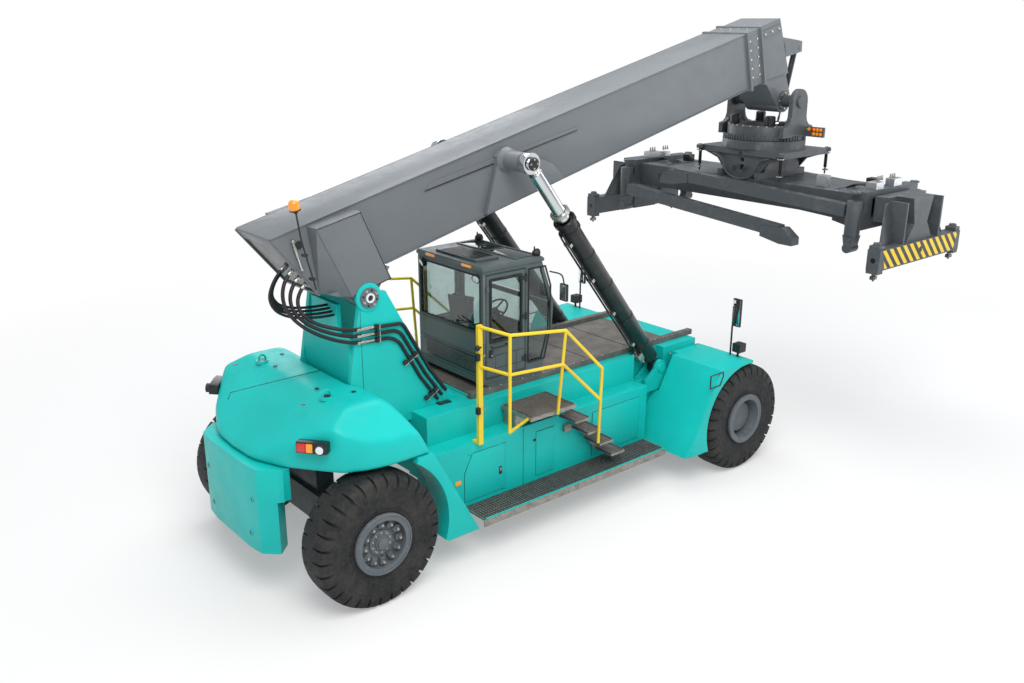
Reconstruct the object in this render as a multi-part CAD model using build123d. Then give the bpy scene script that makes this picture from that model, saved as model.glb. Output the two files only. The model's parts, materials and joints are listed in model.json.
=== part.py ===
from build123d import *
from math import cos, radians, sin, tan
import os

# A container reach stacker: steered rear axle, driven front axle with twin wheels, sliding cab,
# telescopic boom over the cab and a level-hanging spreader for 20 to 40 foot containers.
# Millimetres. x is forward from the steered axle, y is left, z is up from the ground.
# Every piece is made in that machine frame and moved by ORIGIN_SHIFT when it is written.

# Clearances
FIT_GAP = 0.3
PIN_GAP = 0.3
PAD_GAP = 0.5
SIDE_GAP = 8
DOOR_GAP = 6
ARM_GAP = 6
SLOT_GAP = 8
PAD_CLEAR = 33

# Wheels and axles
WHEELBASE = 6200
TYRE_R = 820
TYRE_W = 500
TYRE_SHOULDER_R = 70
TYRE_WALL_IN = 25
RIM_R = 378
RIM_SEAT_R = 330
RIM_T = 30
RIM_LIP_W = 40
REAR_WHEEL_Y = 1440
REAR_DISH = 150
REAR_HUB_R = 150
REAR_CAP_R = 85
REAR_LUG_R = 235
REAR_LUGS = 12
FRONT_OUTER_Y = 1785
FRONT_INNER_Y = 1185
FRONT_OUTER_DISH = -60
FRONT_INNER_DISH = 150
FRONT_HUB_R = 225
FRONT_HUB_OUT = 140
FRONT_LUG_R = 263
FRONT_LUGS = 20
SPINDLE_R = 75
KINGPIN_Y = 1150
KINGPIN_R = 60
FORK_Z = 190
FORK_T = 60
FORK_R = 110
AXLE_TUBE_R = 190
AXLE_BOWL_R = 330
AXLE_SEAT_H = 260

# Main frame and deck
FRAME_INNER_Y = 520
FRAME_OUTER_Y = 950
FRAME_BOTTOM_Z = 720
FRAME_TOP_Z = 1780
FRAME_REAR_X = 1150
FRAME_FRONT_X = WHEELBASE + 60
FRONT_FRAME_Y = 875
DECK_T = 40
BACKBONE_H = 200
DECK_PLATE_T = 22
CROSS_MEMBER_W = 240
ENGINE_FRONT_X = 3600

# Cab guide rails
CAB_HALF_W = 715
RAIL_Y = CAB_HALF_W + PAD_CLEAR
RAIL_W = 90
RAIL_H = 80
RAIL_REAR_X = 1960
RAIL_FRONT_X = WHEELBASE + 160

# Counterweight, hood and rear mudguards
REAR_OVERHANG = 1060
COUNTERWEIGHT_FRONT_X = -700
COUNTERWEIGHT_BOTTOM_Z = 640
TYRE_RELIEF_Z = 1300
HOOD_Z = 1700
HOOD_TOP_Z = 2400
REAR_ARCH_R = 975
MUDGUARD_FOOT_Z = 480
MUDGUARD_OUTER_Y = 1620

# Front fenders
FENDER_TOP_Z = 1720
FENDER_ARCH_R = 862
FENDER_INNER_Y = 960
FENDER_OUTER_Y = 2010

# Side locker, tank and running boards
CABINET_Y = 1240
CABINET_TOP_Z = 1420
CABINET_FRONT_X = WHEELBASE - 1340
LEDGE_T = 25
BOARD_Z = 600
BOARD_T = 30
BOARD_EDGE_Y = 1680
BOARD_BRACES = 4
BOARD_BRACE_PITCH = 850

# Boarding platforms, steps and handrails
PLATFORM_TOP_Z = 1700
PLATFORM_T = 50
PLATFORM_X = (2330, 3120)
PLATFORM_OUTER_Y = 1560
STEP_INNER_Y = 1290
STEP_OUTER_Y = 1620
STEP_COUNT = 4
STEP_RISE = 225
STEP_RUN = 235
STEP_DEPTH = 260
STEP_T = 30
RAIL_TUBE_R = 21
MIRROR_POST_R = 14
TUBE_BALL_PROUD = 0.6

# Boom tower, boom pivot and boom attitude
TOWER_Y = 545
TOWER_T = 70
TOWER_REAR_X = 300
TOWER_WALL_X = 340
TOWER_WALL_T = 60
PIVOT_X = 600
PIVOT_Z = 3400
PIVOT_R = 90
PIVOT_OUT = 30
EAR_R = 160
BOOM_ANGLE = 14.43

# Boom: s runs along the boom from the pivot, t stands square to it
BOOM_TAIL_S = -880
BOOM_TAIL_FOOT_S = -480
BOOM_MOUTH_S = 7980
BOOM_BOTTOM_T = 200
BOOM_TOP_T = 1060
BOOM_HALF_W = 410
BOOM_WALL = 30
BOOM_EAR_R = 150
BOOM_EAR_W = 90
BOOM_SIDE_PLAY = 12
COLLAR_W = 50
INNER_START_S = 400
INNER_GAP = 25
INNER_WALL = 24
PAD_T = (400, 860)
PAD_HALF_W = 250
HEAD_START_S = BOOM_MOUTH_S + 12
HEAD_END_S = 8540
HEAD_PIN_T = -286
HEAD_HALF_W = 380
HEAD_LUG_HALF_W = 330
HEAD_PIN_R = 95
HEAD_LUG_R = 190
DAMPER_SLOT_Y = 90

# Lift cylinders
LIFT_Y = 930
LIFT_FOOT_X = WHEELBASE - 840
LIFT_FOOT_Z = 1560
LIFT_PIN_S = 2490
LIFT_PIN_T = 811
LIFT_BARREL_R = 130
LIFT_CAP_OUT = 14
LIFT_CAP_LEN = 160
LIFT_ROD_R = 88
LIFT_BARREL_LEN = 3100
LIFT_ROD_LEN = 3200
LIFT_PIN_R = 65
LIFT_CROSS_R = 125
LIFT_FOOT_EYE_R = 115
LIFT_FOOT_EYE_W = 110
LIFT_EYE_R = 135
LIFT_EYE_W = 110

# Cab
CAB_REAR_X = 2230
CAB_FLOOR_Z = 1925
CAB_ROOF_Z = 3460
CAB_WALL = 40
CAB_NOSE = ((3250, CAB_FLOOR_Z), (3430, 2450), (3460, 2870), (3240, CAB_ROOF_Z))
CAB_OUTLINE = [(CAB_REAR_X, CAB_FLOOR_Z), *CAB_NOSE, (CAB_REAR_X, CAB_ROOF_Z)]
FLOOR_TOP_Z = CAB_FLOOR_Z + CAB_WALL
PILLAR_FRONT_X = 3005
WINDOW_BOTTOM_Z = 2080
WINDOW_TOP_Z = 3380
SCREEN_SIDE = 55
SCREEN_SPLIT_Z = (2790, 2850)
SCREEN_TOP_Z = 3400
REAR_WINDOW_Z = (2640, 3390)
ROOF_T = 60
ROOF_OVER = 20
GLASS_T = 8
GLASS_IN = 20
SIDE_GLASS_IN = 24
DOOR_GLASS_IN = 22
SKID_IN = 60
SKID_OUT = 30
DOOR_REAR_X = 2285
DOOR_FRONT_X = 2945
DOOR_SILL_Z = 2010
DOOR_HEAD_Z = 3400
DOOR_T = 36
DOOR_FRAME_W = 70
DOOR_WINDOW_X = (DOOR_REAR_X + DOOR_FRAME_W, DOOR_FRONT_X - DOOR_FRAME_W)
DOOR_WINDOW_Z = (2500, DOOR_HEAD_Z - DOOR_FRAME_W)
DOOR_HINGE_R = 12
DOOR_HINGE_OUT = 14
STEERING_WHEEL_R = 195
STEERING_RIM_R = 14

# Head, damping cylinder and rotator
HEAD_EAR_R = 205
DAMPER_TOP_S = 9403
DAMPER_TOP_T = 347
DAMPER_FOOT_DX = 360
DAMPER_FOOT_DZ = -450
DAMPER_R = 48
DAMPER_ROD_R = 28
DAMPER_EYE_W = 96
DAMPER_TOP_EYE_R = 62
DAMPER_FOOT_EYE_R = 52
DAMPER_PIN_R = 30
DAMPER_BARREL_LEN = 780
DAMPER_LUG_T = 34
DAMPER_LUG_GAP = 6
RING_R = 660
RING_TOP_Z = 4850
RING_SPLIT_Z = 4620
RING_WALL = 150
SLEW_TOP_Z = 4480
SLEW_PLATE_T = 100
SLEW_HALF_X = 620
SLEW_HALF_Y = 860
ROCKER_T = 50
YOKE_EAR_Y = 660
YOKE_EAR_T = 80
CORNER_CYLINDER_R = 27

# Spreader
MAIN_HALF_X = 600
MAIN_HALF_Y = 2450
MAIN_TOP_Z = 4000
MAIN_H = 380
MAIN_WALL = 40
POCKETS = ((-MAIN_HALF_X + MAIN_WALL, -MAIN_WALL / 2), (MAIN_WALL / 2, MAIN_HALF_X - MAIN_WALL))
PORTAL_HALF_X = 760
PORTAL_W = 220
ARM_LEN = 3700
ARM_END_Y = MAIN_HALF_Y + 250
TWISTLOCK_HALF_X = 1129.5
TWISTLOCK_HALF_Y = 2926.5
TWISTLOCK_TIP_Z = 2860
TWISTLOCK_R = 32
END_BEAM_BOTTOM_Z = 3030
END_BEAM_H = 310
END_BEAM_W = 200
END_BEAM_OVER = 70
LEG_HINGE_X = 860
LEG_HINGE_Y = MAIN_HALF_Y - PORTAL_W / 2
LEG_BARREL_R = 115
LEG_BRACKET_Z = 3230
LEG_END_GAP = 5

# Hoses
HOSE_R = 22
HOSE_PITCH = 80
LOOP_HOSE_R = 16
TOWER_HOSE_Y = -TOWER_Y - TOWER_T - HOSE_R - FIT_GAP
TOWER_HOSE_START_X = 520
TOWER_HOSE_Z = 2955
# each: how far up the tail it starts, how far it stands straight out, and its points (x, y, z) from there
RUN_HOSES = (
    (200, 110, [(-204, -367, 3413), (-169, -435, 3269), (-50, -504, 3175), (96, -570, 3113),
                (252, -638.5, 3072),
                (415, -637.3, 3041.7)]),
    (320, 120, [(-287, -361, 3497), (-279, -413, 3342), (-188, -473, 3216), (-60, -527, 3123),
                (84, -578, 3054),
                (239, -638.5, 3003), (400, -637.3, 2962.5)]),
    (440, 125, [(-368, -356, 3584), (-378, -397, 3423), (-312, -448, 3278), (-204, -498, 3159),
                (-72, -543, 3064),
                (73, -586, 2988), (228, -638.5, 2930), (390, -637.3, 2883)]),
)
# the same for each loop, with its points (x, z), the last one at the height where it enters the tower
LOOP_HOSES = (
    (500, 120, [(-428, 3649), (-482, 3490), (-418, 3338), (-278, 3245), (-116, 3194), (51, 3166),
                (220, 3150)]),
    (465, 115, [(-396, 3634), (-445, 3485), (-379, 3345), (-243, 3264), (-91, 3219), (66, 3194),
                (225, 3181)]),
    (430, 110, [(-364, 3618), (-408, 3479), (-339, 3352), (-209, 3282), (-66, 3244), (82, 3223),
                (230, 3212)]),
    (395, 105, [(-332, 3603), (-371, 3473), (-299, 3360), (-174, 3301), (-40, 3270), (97, 3253),
                (235, 3243)]),
)
RUN_START_Y = -332
LOOP_START_Y = -235
LOOP_PITCH_Y = 50


def span(x, y, z):
    """A box from three pairs of limits."""
    size = [pair[1] - pair[0] for pair in (x, y, z)]
    centre = [(pair[1] + pair[0]) / 2 for pair in (x, y, z)]
    return Pos(*centre) * Box(*size)


def plate(points, y):
    """A side outline of (x, z) points, filled between two y values."""
    face = make_face(Polyline(*[(x, 0, z) for x, z in points], close=True))
    return Pos(0, y[0], 0) * extrude(face, y[1] - y[0], dir=(0, 1, 0))


def slab(points, z):
    """A plan outline of (x, y) points, filled between two z values."""
    face = make_face(Polyline(*[(x, y, 0) for x, y in points], close=True))
    return Pos(0, 0, z[0]) * extrude(face, z[1] - z[0], dir=(0, 0, 1))


def end_plate(points, x):
    """A front outline of (y, z) points, filled between two x values."""
    face = make_face(Polyline(*[(0, y, z) for y, z in points], close=True))
    return Pos(x[0], 0, 0) * extrude(face, x[1] - x[0], dir=(1, 0, 0))


def rod(start, end, radius):
    """A round bar between two points."""
    axis = Vector(*end) - Vector(*start)
    bottom = (Align.CENTER, Align.CENTER, Align.MIN)
    return Plane(origin=start, z_dir=axis) * Cylinder(radius, axis.length, align=bottom)


def bar(start, end, width, height):
    """A rectangular bar between two points, its width level."""
    axis = Vector(*end) - Vector(*start)
    level = axis.cross(Vector(0, 0, 1))
    bottom = (Align.CENTER, Align.CENTER, Align.MIN)
    return Plane(origin=start, x_dir=level, z_dir=axis) * Box(width, height, axis.length, align=bottom)


def disc_y(x, z, radius, y):
    """A round bar across the machine between two y values."""
    return rod((x, y[0], z), (x, y[1], z), radius)


def disc_z(x, y, radius, z):
    """An upright round bar between two z values."""
    return rod((x, y, z[0]), (x, y, z[1]), radius)


def flipped(shape):
    """The same piece on the machine's other side."""
    return mirror(shape, about=Plane.XZ)


def both(shape):
    """The piece and its mirror image across the machine."""
    return Compound(children=list(solids_of(shape)) + list(solids_of(flipped(shape))))


def solids_of(shape):
    return shape.solids()


def turned(profile):
    """Revolve an (radius, y) profile about the wheel's axle line through the origin."""
    face = make_face(Polyline(*[(r, y, 0) for r, y in profile], close=True))
    return revolve(face, Axis.Y)


# Worked out from the driving dimensions
BOOM = Location((PIVOT_X, 0, PIVOT_Z), (0, -BOOM_ANGLE, 0))


def on_boom(s, t):
    """Machine x and z of a boom point."""
    a = radians(BOOM_ANGLE)
    return PIVOT_X + s * cos(a) - t * sin(a), PIVOT_Z + s * sin(a) + t * cos(a)


HEAD_X, HEAD_Z = on_boom(HEAD_END_S, HEAD_PIN_T)
LIFT_PIN_X, LIFT_PIN_Z = on_boom(LIFT_PIN_S, LIFT_PIN_T)
SLEW_X = HEAD_X
SPREADER_FRONT_X = SLEW_X + TWISTLOCK_HALF_X + END_BEAM_OVER
ORIGIN_SHIFT = Pos((REAR_OVERHANG - SPREADER_FRONT_X) / 2, 0, 0)
FRONT_AXLE_X = WHEELBASE
AXLE_Z = TYRE_R
DECK_Z = FRAME_TOP_Z + DECK_T
INNER_HALF_W = BOOM_HALF_W - BOOM_WALL - INNER_GAP
INNER_BOTTOM_T = BOOM_BOTTOM_T + BOOM_WALL + INNER_GAP
INNER_TOP_T = BOOM_TOP_T - BOOM_WALL - INNER_GAP
DAMPER_TOP_X, DAMPER_TOP_Z = on_boom(DAMPER_TOP_S, DAMPER_TOP_T)
DAMPER_FOOT_X = HEAD_X + DAMPER_FOOT_DX
DAMPER_FOOT_Z = HEAD_Z + DAMPER_FOOT_DZ


# ---- wheels ----

def tyre(y, x):
    """A tyre with round shoulders, seated on its rim."""
    half = TYRE_W / 2
    wall = half - TYRE_WALL_IN
    bead = RIM_R + 60
    bulge = TYRE_R - 190
    outline = [(RIM_SEAT_R, -wall, 0), (bead, -wall, 0), (bulge, -half, 0), (TYRE_R, -half, 0),
               (TYRE_R, half, 0), (bulge, half, 0), (bead, wall, 0), (RIM_SEAT_R, wall, 0)]
    rounds = [0, 20, 120, TYRE_SHOULDER_R, TYRE_SHOULDER_R, 120, 20, 0]
    face = make_face(FilletPolyline(*outline, radius=rounds, close=True))
    return Pos(x, y, AXLE_Z) * revolve(face, Axis.Y)


def rim(y, x, dish, hub_r):
    """A steel rim with flanges; dish is the disc's offset from the wheel's middle, outward in +y."""
    half = TYRE_W / 2 - TYRE_WALL_IN
    inside = RIM_SEAT_R - RIM_T
    ring = turned([(inside, -half), (RIM_SEAT_R, -half), (RIM_SEAT_R, half), (inside, half)])
    for a, b in ((half, half + RIM_LIP_W), (-half - RIM_LIP_W, -half)):
        ring += turned([(inside, a), (RIM_R, a), (RIM_R, b), (inside, b)])
    low = dish - RIM_T / 2
    high = dish + RIM_T / 2
    disc = turned([(hub_r, low), (inside + 1, low), (inside + 1, high), (hub_r, high)])
    return Pos(x, y, AXLE_Z) * (ring + disc)


def lug_ring(x, y, radius, count, depth, height, width):
    """A ring of blocks round a wheel's disc."""
    block = Pos(radius, y, 0) * Box(height, depth, width)
    return [Pos(x, 0, AXLE_Z) * Rot(0, 360 / count * i, 0) * block for i in range(count)]


def rear_wheel():
    """Tyre and rim of the left steered wheel."""
    shape = rim(REAR_WHEEL_Y, 0, REAR_DISH, REAR_HUB_R - 5)
    outer = REAR_WHEEL_Y + REAR_DISH
    for lug in lug_ring(0, outer + 35, REAR_LUG_R, REAR_LUGS, 46, 90, 60):
        shape += lug
    hub = disc_y(0, AXLE_Z, REAR_HUB_R, (REAR_WHEEL_Y - 40, outer + 40))
    cap = disc_y(0, AXLE_Z, REAR_CAP_R, (outer + 39, outer + 75))
    bore = disc_y(0, AXLE_Z, SPINDLE_R + PIN_GAP, (REAR_WHEEL_Y - 60, outer - 20))
    return tyre(REAR_WHEEL_Y, 0), shape + hub + cap - bore


def front_wheels():
    """Twin tyres and joined rims of the left drive wheels."""
    outer = rim(FRONT_OUTER_Y, FRONT_AXLE_X, FRONT_OUTER_DISH, FRONT_HUB_R - 5)
    inner = rim(FRONT_INNER_Y, FRONT_AXLE_X, FRONT_INNER_DISH, FRONT_HUB_R - 5)
    hub = disc_y(FRONT_AXLE_X, AXLE_Z, FRONT_HUB_R, (FRONT_INNER_Y - 40, FRONT_OUTER_Y + FRONT_HUB_OUT))
    shape = outer + inner + hub
    for bolt in lug_ring(FRONT_AXLE_X, FRONT_OUTER_Y + FRONT_OUTER_DISH + 22, FRONT_LUG_R,
                         FRONT_LUGS, 24, 26, 26):
        shape += bolt
    bore = disc_y(FRONT_AXLE_X, AXLE_Z, SPINDLE_R + PIN_GAP, (FRONT_INNER_Y - 60, FRONT_OUTER_Y - 60))
    tyres = Compound(children=[tyre(y, FRONT_AXLE_X).solid() for y in (FRONT_OUTER_Y, FRONT_INNER_Y)])
    return tyres, shape - bore


def steer_axle():
    """The rear axle beam with its forks, which hold the kingpins."""
    full = (AXLE_Z - FORK_Z, AXLE_Z + FORK_Z)
    mouth = (full[0] + FORK_T, full[1] - FORK_T)
    beam = span((-170, 170), (-KINGPIN_Y + 170, KINGPIN_Y - 170), full)
    beam += span((-120, 120), (-400, 400), (full[1] - 1, FRAME_TOP_Z - BACKBONE_H - FIT_GAP))
    for z in ((full[0], mouth[0]), (mouth[1], full[1])):
        fork = span((-FORK_R, FORK_R), (KINGPIN_Y - 180, KINGPIN_Y), z) + disc_z(0, KINGPIN_Y, FORK_R, z)
        beam += fork + flipped(fork)
    pin = disc_z(0, KINGPIN_Y, KINGPIN_R, full)
    room = span((-175, 175), (KINGPIN_Y - 195, KINGPIN_Y + 5), mouth)
    beam = beam - room - flipped(room)
    return beam + pin + flipped(pin)


def knuckle():
    """The left steering knuckle: a bored block round the kingpin with the wheel's spindle."""
    half = FORK_Z - FORK_T - 2
    block = disc_z(0, KINGPIN_Y, FORK_R - 5, (AXLE_Z - half, AXLE_Z + half))
    spindle = disc_y(0, AXLE_Z, SPINDLE_R, (KINGPIN_Y + 60, REAR_WHEEL_Y + 110))
    return block + spindle - disc_z(0, KINGPIN_Y, KINGPIN_R + PIN_GAP, (AXLE_Z - FORK_Z, AXLE_Z + FORK_Z))


def drive_axle():
    """The front axle: a housing bolted under the frame, with a spindle for each pair of wheels."""
    tube = disc_y(FRONT_AXLE_X, AXLE_Z, AXLE_TUBE_R, (-FRAME_OUTER_Y + 40, FRAME_OUTER_Y - 40))
    tube += Pos(FRONT_AXLE_X, 0, AXLE_Z) * Sphere(AXLE_BOWL_R)
    spindle = disc_y(FRONT_AXLE_X, AXLE_Z, SPINDLE_R, (FRAME_OUTER_Y - 60, FRONT_OUTER_Y - 80))
    seat = span((FRONT_AXLE_X - 220, FRONT_AXLE_X + 60), (FRAME_INNER_Y + 40, FRAME_OUTER_Y - 60),
                (AXLE_Z, AXLE_Z + AXLE_SEAT_H))
    return tube + spindle + flipped(spindle) + seat + flipped(seat)


# ---- chassis ----

def chassis_frame():
    """Two deep side beams, their cross members, the deck and the lift cylinder feet."""
    seat_top = AXLE_Z + AXLE_SEAT_H + FIT_GAP
    side = plate([(FRAME_REAR_X, FRAME_BOTTOM_Z + 200), (FRAME_REAR_X + 250, FRAME_BOTTOM_Z),
                  (FRONT_AXLE_X - 700, FRAME_BOTTOM_Z), (FRONT_AXLE_X - 400, seat_top),
                  (FRAME_FRONT_X, seat_top), (FRAME_FRONT_X, FRAME_TOP_Z), (FRAME_REAR_X, FRAME_TOP_Z)],
                 (FRAME_INNER_Y, FRAME_OUTER_Y))
    frame = side + flipped(side)
    crosses = ((FRAME_REAR_X, 950), (ENGINE_FRONT_X, 760), (WHEELBASE - 1500, 760), (WHEELBASE - 300, 1200))
    for x, bottom in crosses:
        frame += span((x, x + CROSS_MEMBER_W), (-FRAME_INNER_Y, FRAME_INNER_Y), (bottom, FRAME_TOP_Z))
    frame += span((COUNTERWEIGHT_FRONT_X, FRAME_REAR_X + 100), (-FRAME_INNER_Y, FRAME_INNER_Y),
                  (FRAME_TOP_Z - BACKBONE_H, FRAME_TOP_Z))
    tower_out = TOWER_Y + TOWER_T
    frame += span((TOWER_REAR_X, FRAME_REAR_X + 10), (-tower_out, tower_out), (HOOD_Z, DECK_Z))
    frame += span((FRAME_REAR_X, FRAME_FRONT_X), (-FRAME_OUTER_Y, FRAME_OUTER_Y), (FRAME_TOP_Z, DECK_Z))
    room = LIFT_BARREL_R + SLOT_GAP
    slot = span((LIFT_FOOT_X - 480, LIFT_FOOT_X + 160), (LIFT_Y - room, LIFT_Y + room),
                (LIFT_FOOT_Z - 150, DECK_Z + 60))
    frame = frame - slot - flipped(slot)
    gap = LIFT_FOOT_EYE_W / 2 + 9
    for y in ((LIFT_Y - 120, LIFT_Y - gap), (LIFT_Y + gap, LIFT_Y + 120)):
        ear = plate([(LIFT_FOOT_X - 300, LIFT_FOOT_Z - 151), (LIFT_FOOT_X - 300, LIFT_FOOT_Z - 340),
                     (LIFT_FOOT_X + 300, LIFT_FOOT_Z - 340), (LIFT_FOOT_X + 300, LIFT_FOOT_Z - 151),
                     (LIFT_FOOT_X + 110, LIFT_FOOT_Z), (LIFT_FOOT_X - 110, LIFT_FOOT_Z)], y)
        ear += disc_y(LIFT_FOOT_X, LIFT_FOOT_Z, LIFT_FOOT_EYE_R, y)
        frame += ear + flipped(ear)
    pin = disc_y(LIFT_FOOT_X, LIFT_FOOT_Z, LIFT_PIN_R, (LIFT_Y - 119, LIFT_Y + 150))
    arch = disc_y(FRONT_AXLE_X, AXLE_Z, FENDER_ARCH_R, (FRONT_FRAME_Y, LIFT_Y + 200))
    return frame + pin + flipped(pin) - arch - flipped(arch)


def boom_tower():
    """Two upright plates with the boom's pivot pin, tied by cross walls."""
    front = [(840, 3440), (1040, 3070), (1310, 2600), (1600, 2060), (1890, DECK_Z)]
    outline = [(TOWER_REAR_X, DECK_Z), (TOWER_REAR_X, 2400), (470, 3330), (PIVOT_X, PIVOT_Z + 60)] + front
    side = plate(outline, (TOWER_Y, TOWER_Y + TOWER_T))
    side += disc_y(PIVOT_X, PIVOT_Z, EAR_R, (TOWER_Y, TOWER_Y + TOWER_T))
    tower = side + flipped(side)
    for x, top in ((TOWER_WALL_X, 2900), (1280, 2450)):
        tower += span((x, x + TOWER_WALL_T), (-TOWER_Y, TOWER_Y), (DECK_Z, top))
    tower += span((TOWER_WALL_X, TOWER_WALL_X + TOWER_WALL_T), (-300, 300), (2899, 3290))
    pin_end = TOWER_Y + TOWER_T + PIVOT_OUT
    pin = disc_y(PIVOT_X, PIVOT_Z, PIVOT_R, (-pin_end, pin_end))
    return tower + pin


def counterweight():
    """The cast block behind and over the steered axle, between the rear wheels."""
    front = COUNTERWEIGHT_FRONT_X - FIT_GAP
    corner = [(-REAR_OVERHANG, 450), (-1030, 700)]
    high = corner + [(-840, 880), (-790, 900), (-790, 880), (front, 880)]
    # below the relief height the front corners are cut back for the steered tyres
    low = corner + [(-862, 858), (front, 698)]
    upper = high + [(x, -y) for x, y in reversed(high)]
    lower = low + [(x, -y) for x, y in reversed(low)]
    return slab(lower, (COUNTERWEIGHT_BOTTOM_Z, TYRE_RELIEF_Z + 1)) + slab(upper, (TYRE_RELIEF_Z, HOOD_Z))


def counterweight_hood():
    """The rounded cast top over the rear wheels."""
    side = MUDGUARD_OUTER_Y
    half = [(-REAR_OVERHANG + 80, 0), (-950, 460), (-780, 880), (-350, 1450), (-60, 1575), (200, side),
            (770, side)]
    plan = half + [(x, -y) for x, y in reversed(half[1:])]
    body = slab(plan, (HOOD_Z + FIT_GAP, HOOD_TOP_Z))
    profile = [(-1100, HOOD_Z), (-960, 1790), (-467, 2210), (-133, 2390), (290, 2395), (420, 2330),
               (505, 2200), (770, HOOD_Z)]
    body = body & plate(profile, (-1700, 1700))
    falling = [(1100, HOOD_TOP_Z + 50), (1240, HOOD_TOP_Z - 20), (1700, HOOD_Z + 240), (1700, HOOD_Z - 10)]
    slope = falling + [(-y, z) for y, z in reversed(falling)]
    body = body & end_plate(slope, (-1200, 900))
    tower_out = TOWER_Y + TOWER_T + 1
    frame_out = FRAME_INNER_Y + 1
    tower_room = span((TOWER_REAR_X - 1, 1000), (-tower_out, tower_out), (HOOD_Z - 50, HOOD_TOP_Z + 50))
    frame_room = span((COUNTERWEIGHT_FRONT_X - 1, 1300), (-frame_out, frame_out),
                      (HOOD_Z - 50, FRAME_TOP_Z + 0.5))
    return body - tower_room - frame_room


def rear_mudguard():
    """The panel ahead of the left rear wheel, from the hood down to the running board."""
    face = plate([(560, HOOD_Z), (770, HOOD_Z), (1440, MUDGUARD_FOOT_Z), (960, MUDGUARD_FOOT_Z), (300, 1000)],
                 (CABINET_Y, MUDGUARD_OUTER_Y))
    arch = disc_y(0, AXLE_Z, REAR_ARCH_R, (1000, 1700))
    inner = plate([(985, MUDGUARD_FOOT_Z), (1440, MUDGUARD_FOOT_Z), (1180, 960), (985, 1320)],
                  (FRAME_OUTER_Y + FIT_GAP, CABINET_Y + 1))
    return face - arch + inner


def front_fender():
    """The left fender over the twin drive wheels, with its sloping rear wall."""
    mid = FRONT_AXLE_X
    outline = [(mid - 1280, 510), (mid - 620, FENDER_TOP_Z), (mid + 120, FENDER_TOP_Z),
               (mid + 120, FENDER_TOP_Z - 60),
               (mid, 900), (mid - 700, 510)]
    body = plate(outline, (FENDER_INNER_Y, FENDER_OUTER_Y))
    arch = disc_y(FRONT_AXLE_X, AXLE_Z, FENDER_ARCH_R, (FENDER_INNER_Y - 5, FENDER_OUTER_Y + 5))
    corner = slab([(mid - 1400, 1900), (mid - 950, 2100), (mid - 1400, 2100)], (400, 1800))
    foot_room = span((mid - 1400, LIFT_FOOT_X + 345), (900, LIFT_Y + 155), (FRAME_TOP_Z - 580, 1900))
    body = body - arch - corner - foot_room
    foot = span((mid - 1200, mid - 1000), (FRAME_OUTER_Y + FIT_GAP, FENDER_INNER_Y + 1), (800, 1000))
    return body + foot


def side_cabinet():
    """The right-hand locker wall under the ledge, ahead of the rear mudguard."""
    outline = [(1185, 965), (1445, MUDGUARD_FOOT_Z + 8), (1445, BOARD_Z), (CABINET_FRONT_X, BOARD_Z),
               (CABINET_FRONT_X, CABINET_TOP_Z), (990, CABINET_TOP_Z), (990, 1325)]
    y = (-CABINET_Y, -FRAME_OUTER_Y - FIT_GAP)
    ledge = span((990, CABINET_FRONT_X), y, (CABINET_TOP_Z - 1, CABINET_TOP_Z + LEDGE_T))
    return plate(outline, y) + ledge


def side_tank():
    """The left-hand tank, in the place of the right-hand locker."""
    return flipped(side_cabinet())


def running_boards():
    """The ribbed boards along both sides."""
    board = span((1500, CABINET_FRONT_X - 20), (CABINET_Y, BOARD_EDGE_Y - 12), (BOARD_Z - BOARD_T, BOARD_Z))
    edge = span((1470, CABINET_FRONT_X - 20), (BOARD_EDGE_Y - 12, BOARD_EDGE_Y), (BOARD_Z - 90, BOARD_Z + 6))
    brace = span((1900, 1960), (CABINET_Y - 60, BOARD_EDGE_Y - 11), (BOARD_Z - 90, BOARD_Z - BOARD_T + 1))
    shape = board + edge
    for i in range(BOARD_BRACES):
        shape += Pos(BOARD_BRACE_PITCH * i, 0, 0) * brace
    return both(shape)


def deck_plates():
    """The grating plates the operator walks on."""
    plates = []
    for x, length in ((2050, 1330), (3400, 830), (4250, 830), (5100, 760)):
        plates.append(span((x, x + length), (-RAIL_Y + RAIL_W, RAIL_Y - RAIL_W),
                           (DECK_Z + FIT_GAP, DECK_Z + DECK_PLATE_T)))
    return Compound(children=[p.solid() for p in plates])


def cab_rails():
    """Two guide rails for the sliding cab."""
    z = (DECK_Z + FIT_GAP, DECK_Z + RAIL_H)
    rail = span((RAIL_REAR_X, RAIL_FRONT_X), (RAIL_Y - RAIL_W / 2, RAIL_Y + RAIL_W / 2), z)
    well = span((LIFT_FOOT_X - 340, LIFT_FOOT_X + 190), (LIFT_Y - LIFT_BARREL_R, LIFT_Y + LIFT_BARREL_R),
                (DECK_Z, z[1] + 60))
    return both(rail - well)


def engine_block():
    """The engine and gearbox, between the side beams."""
    block = span((1850, ENGINE_FRONT_X - FIT_GAP), (-400, 400), (800, 1640))
    return block + span((1700, 1851), (-300, 300), (900, 1500))


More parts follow.
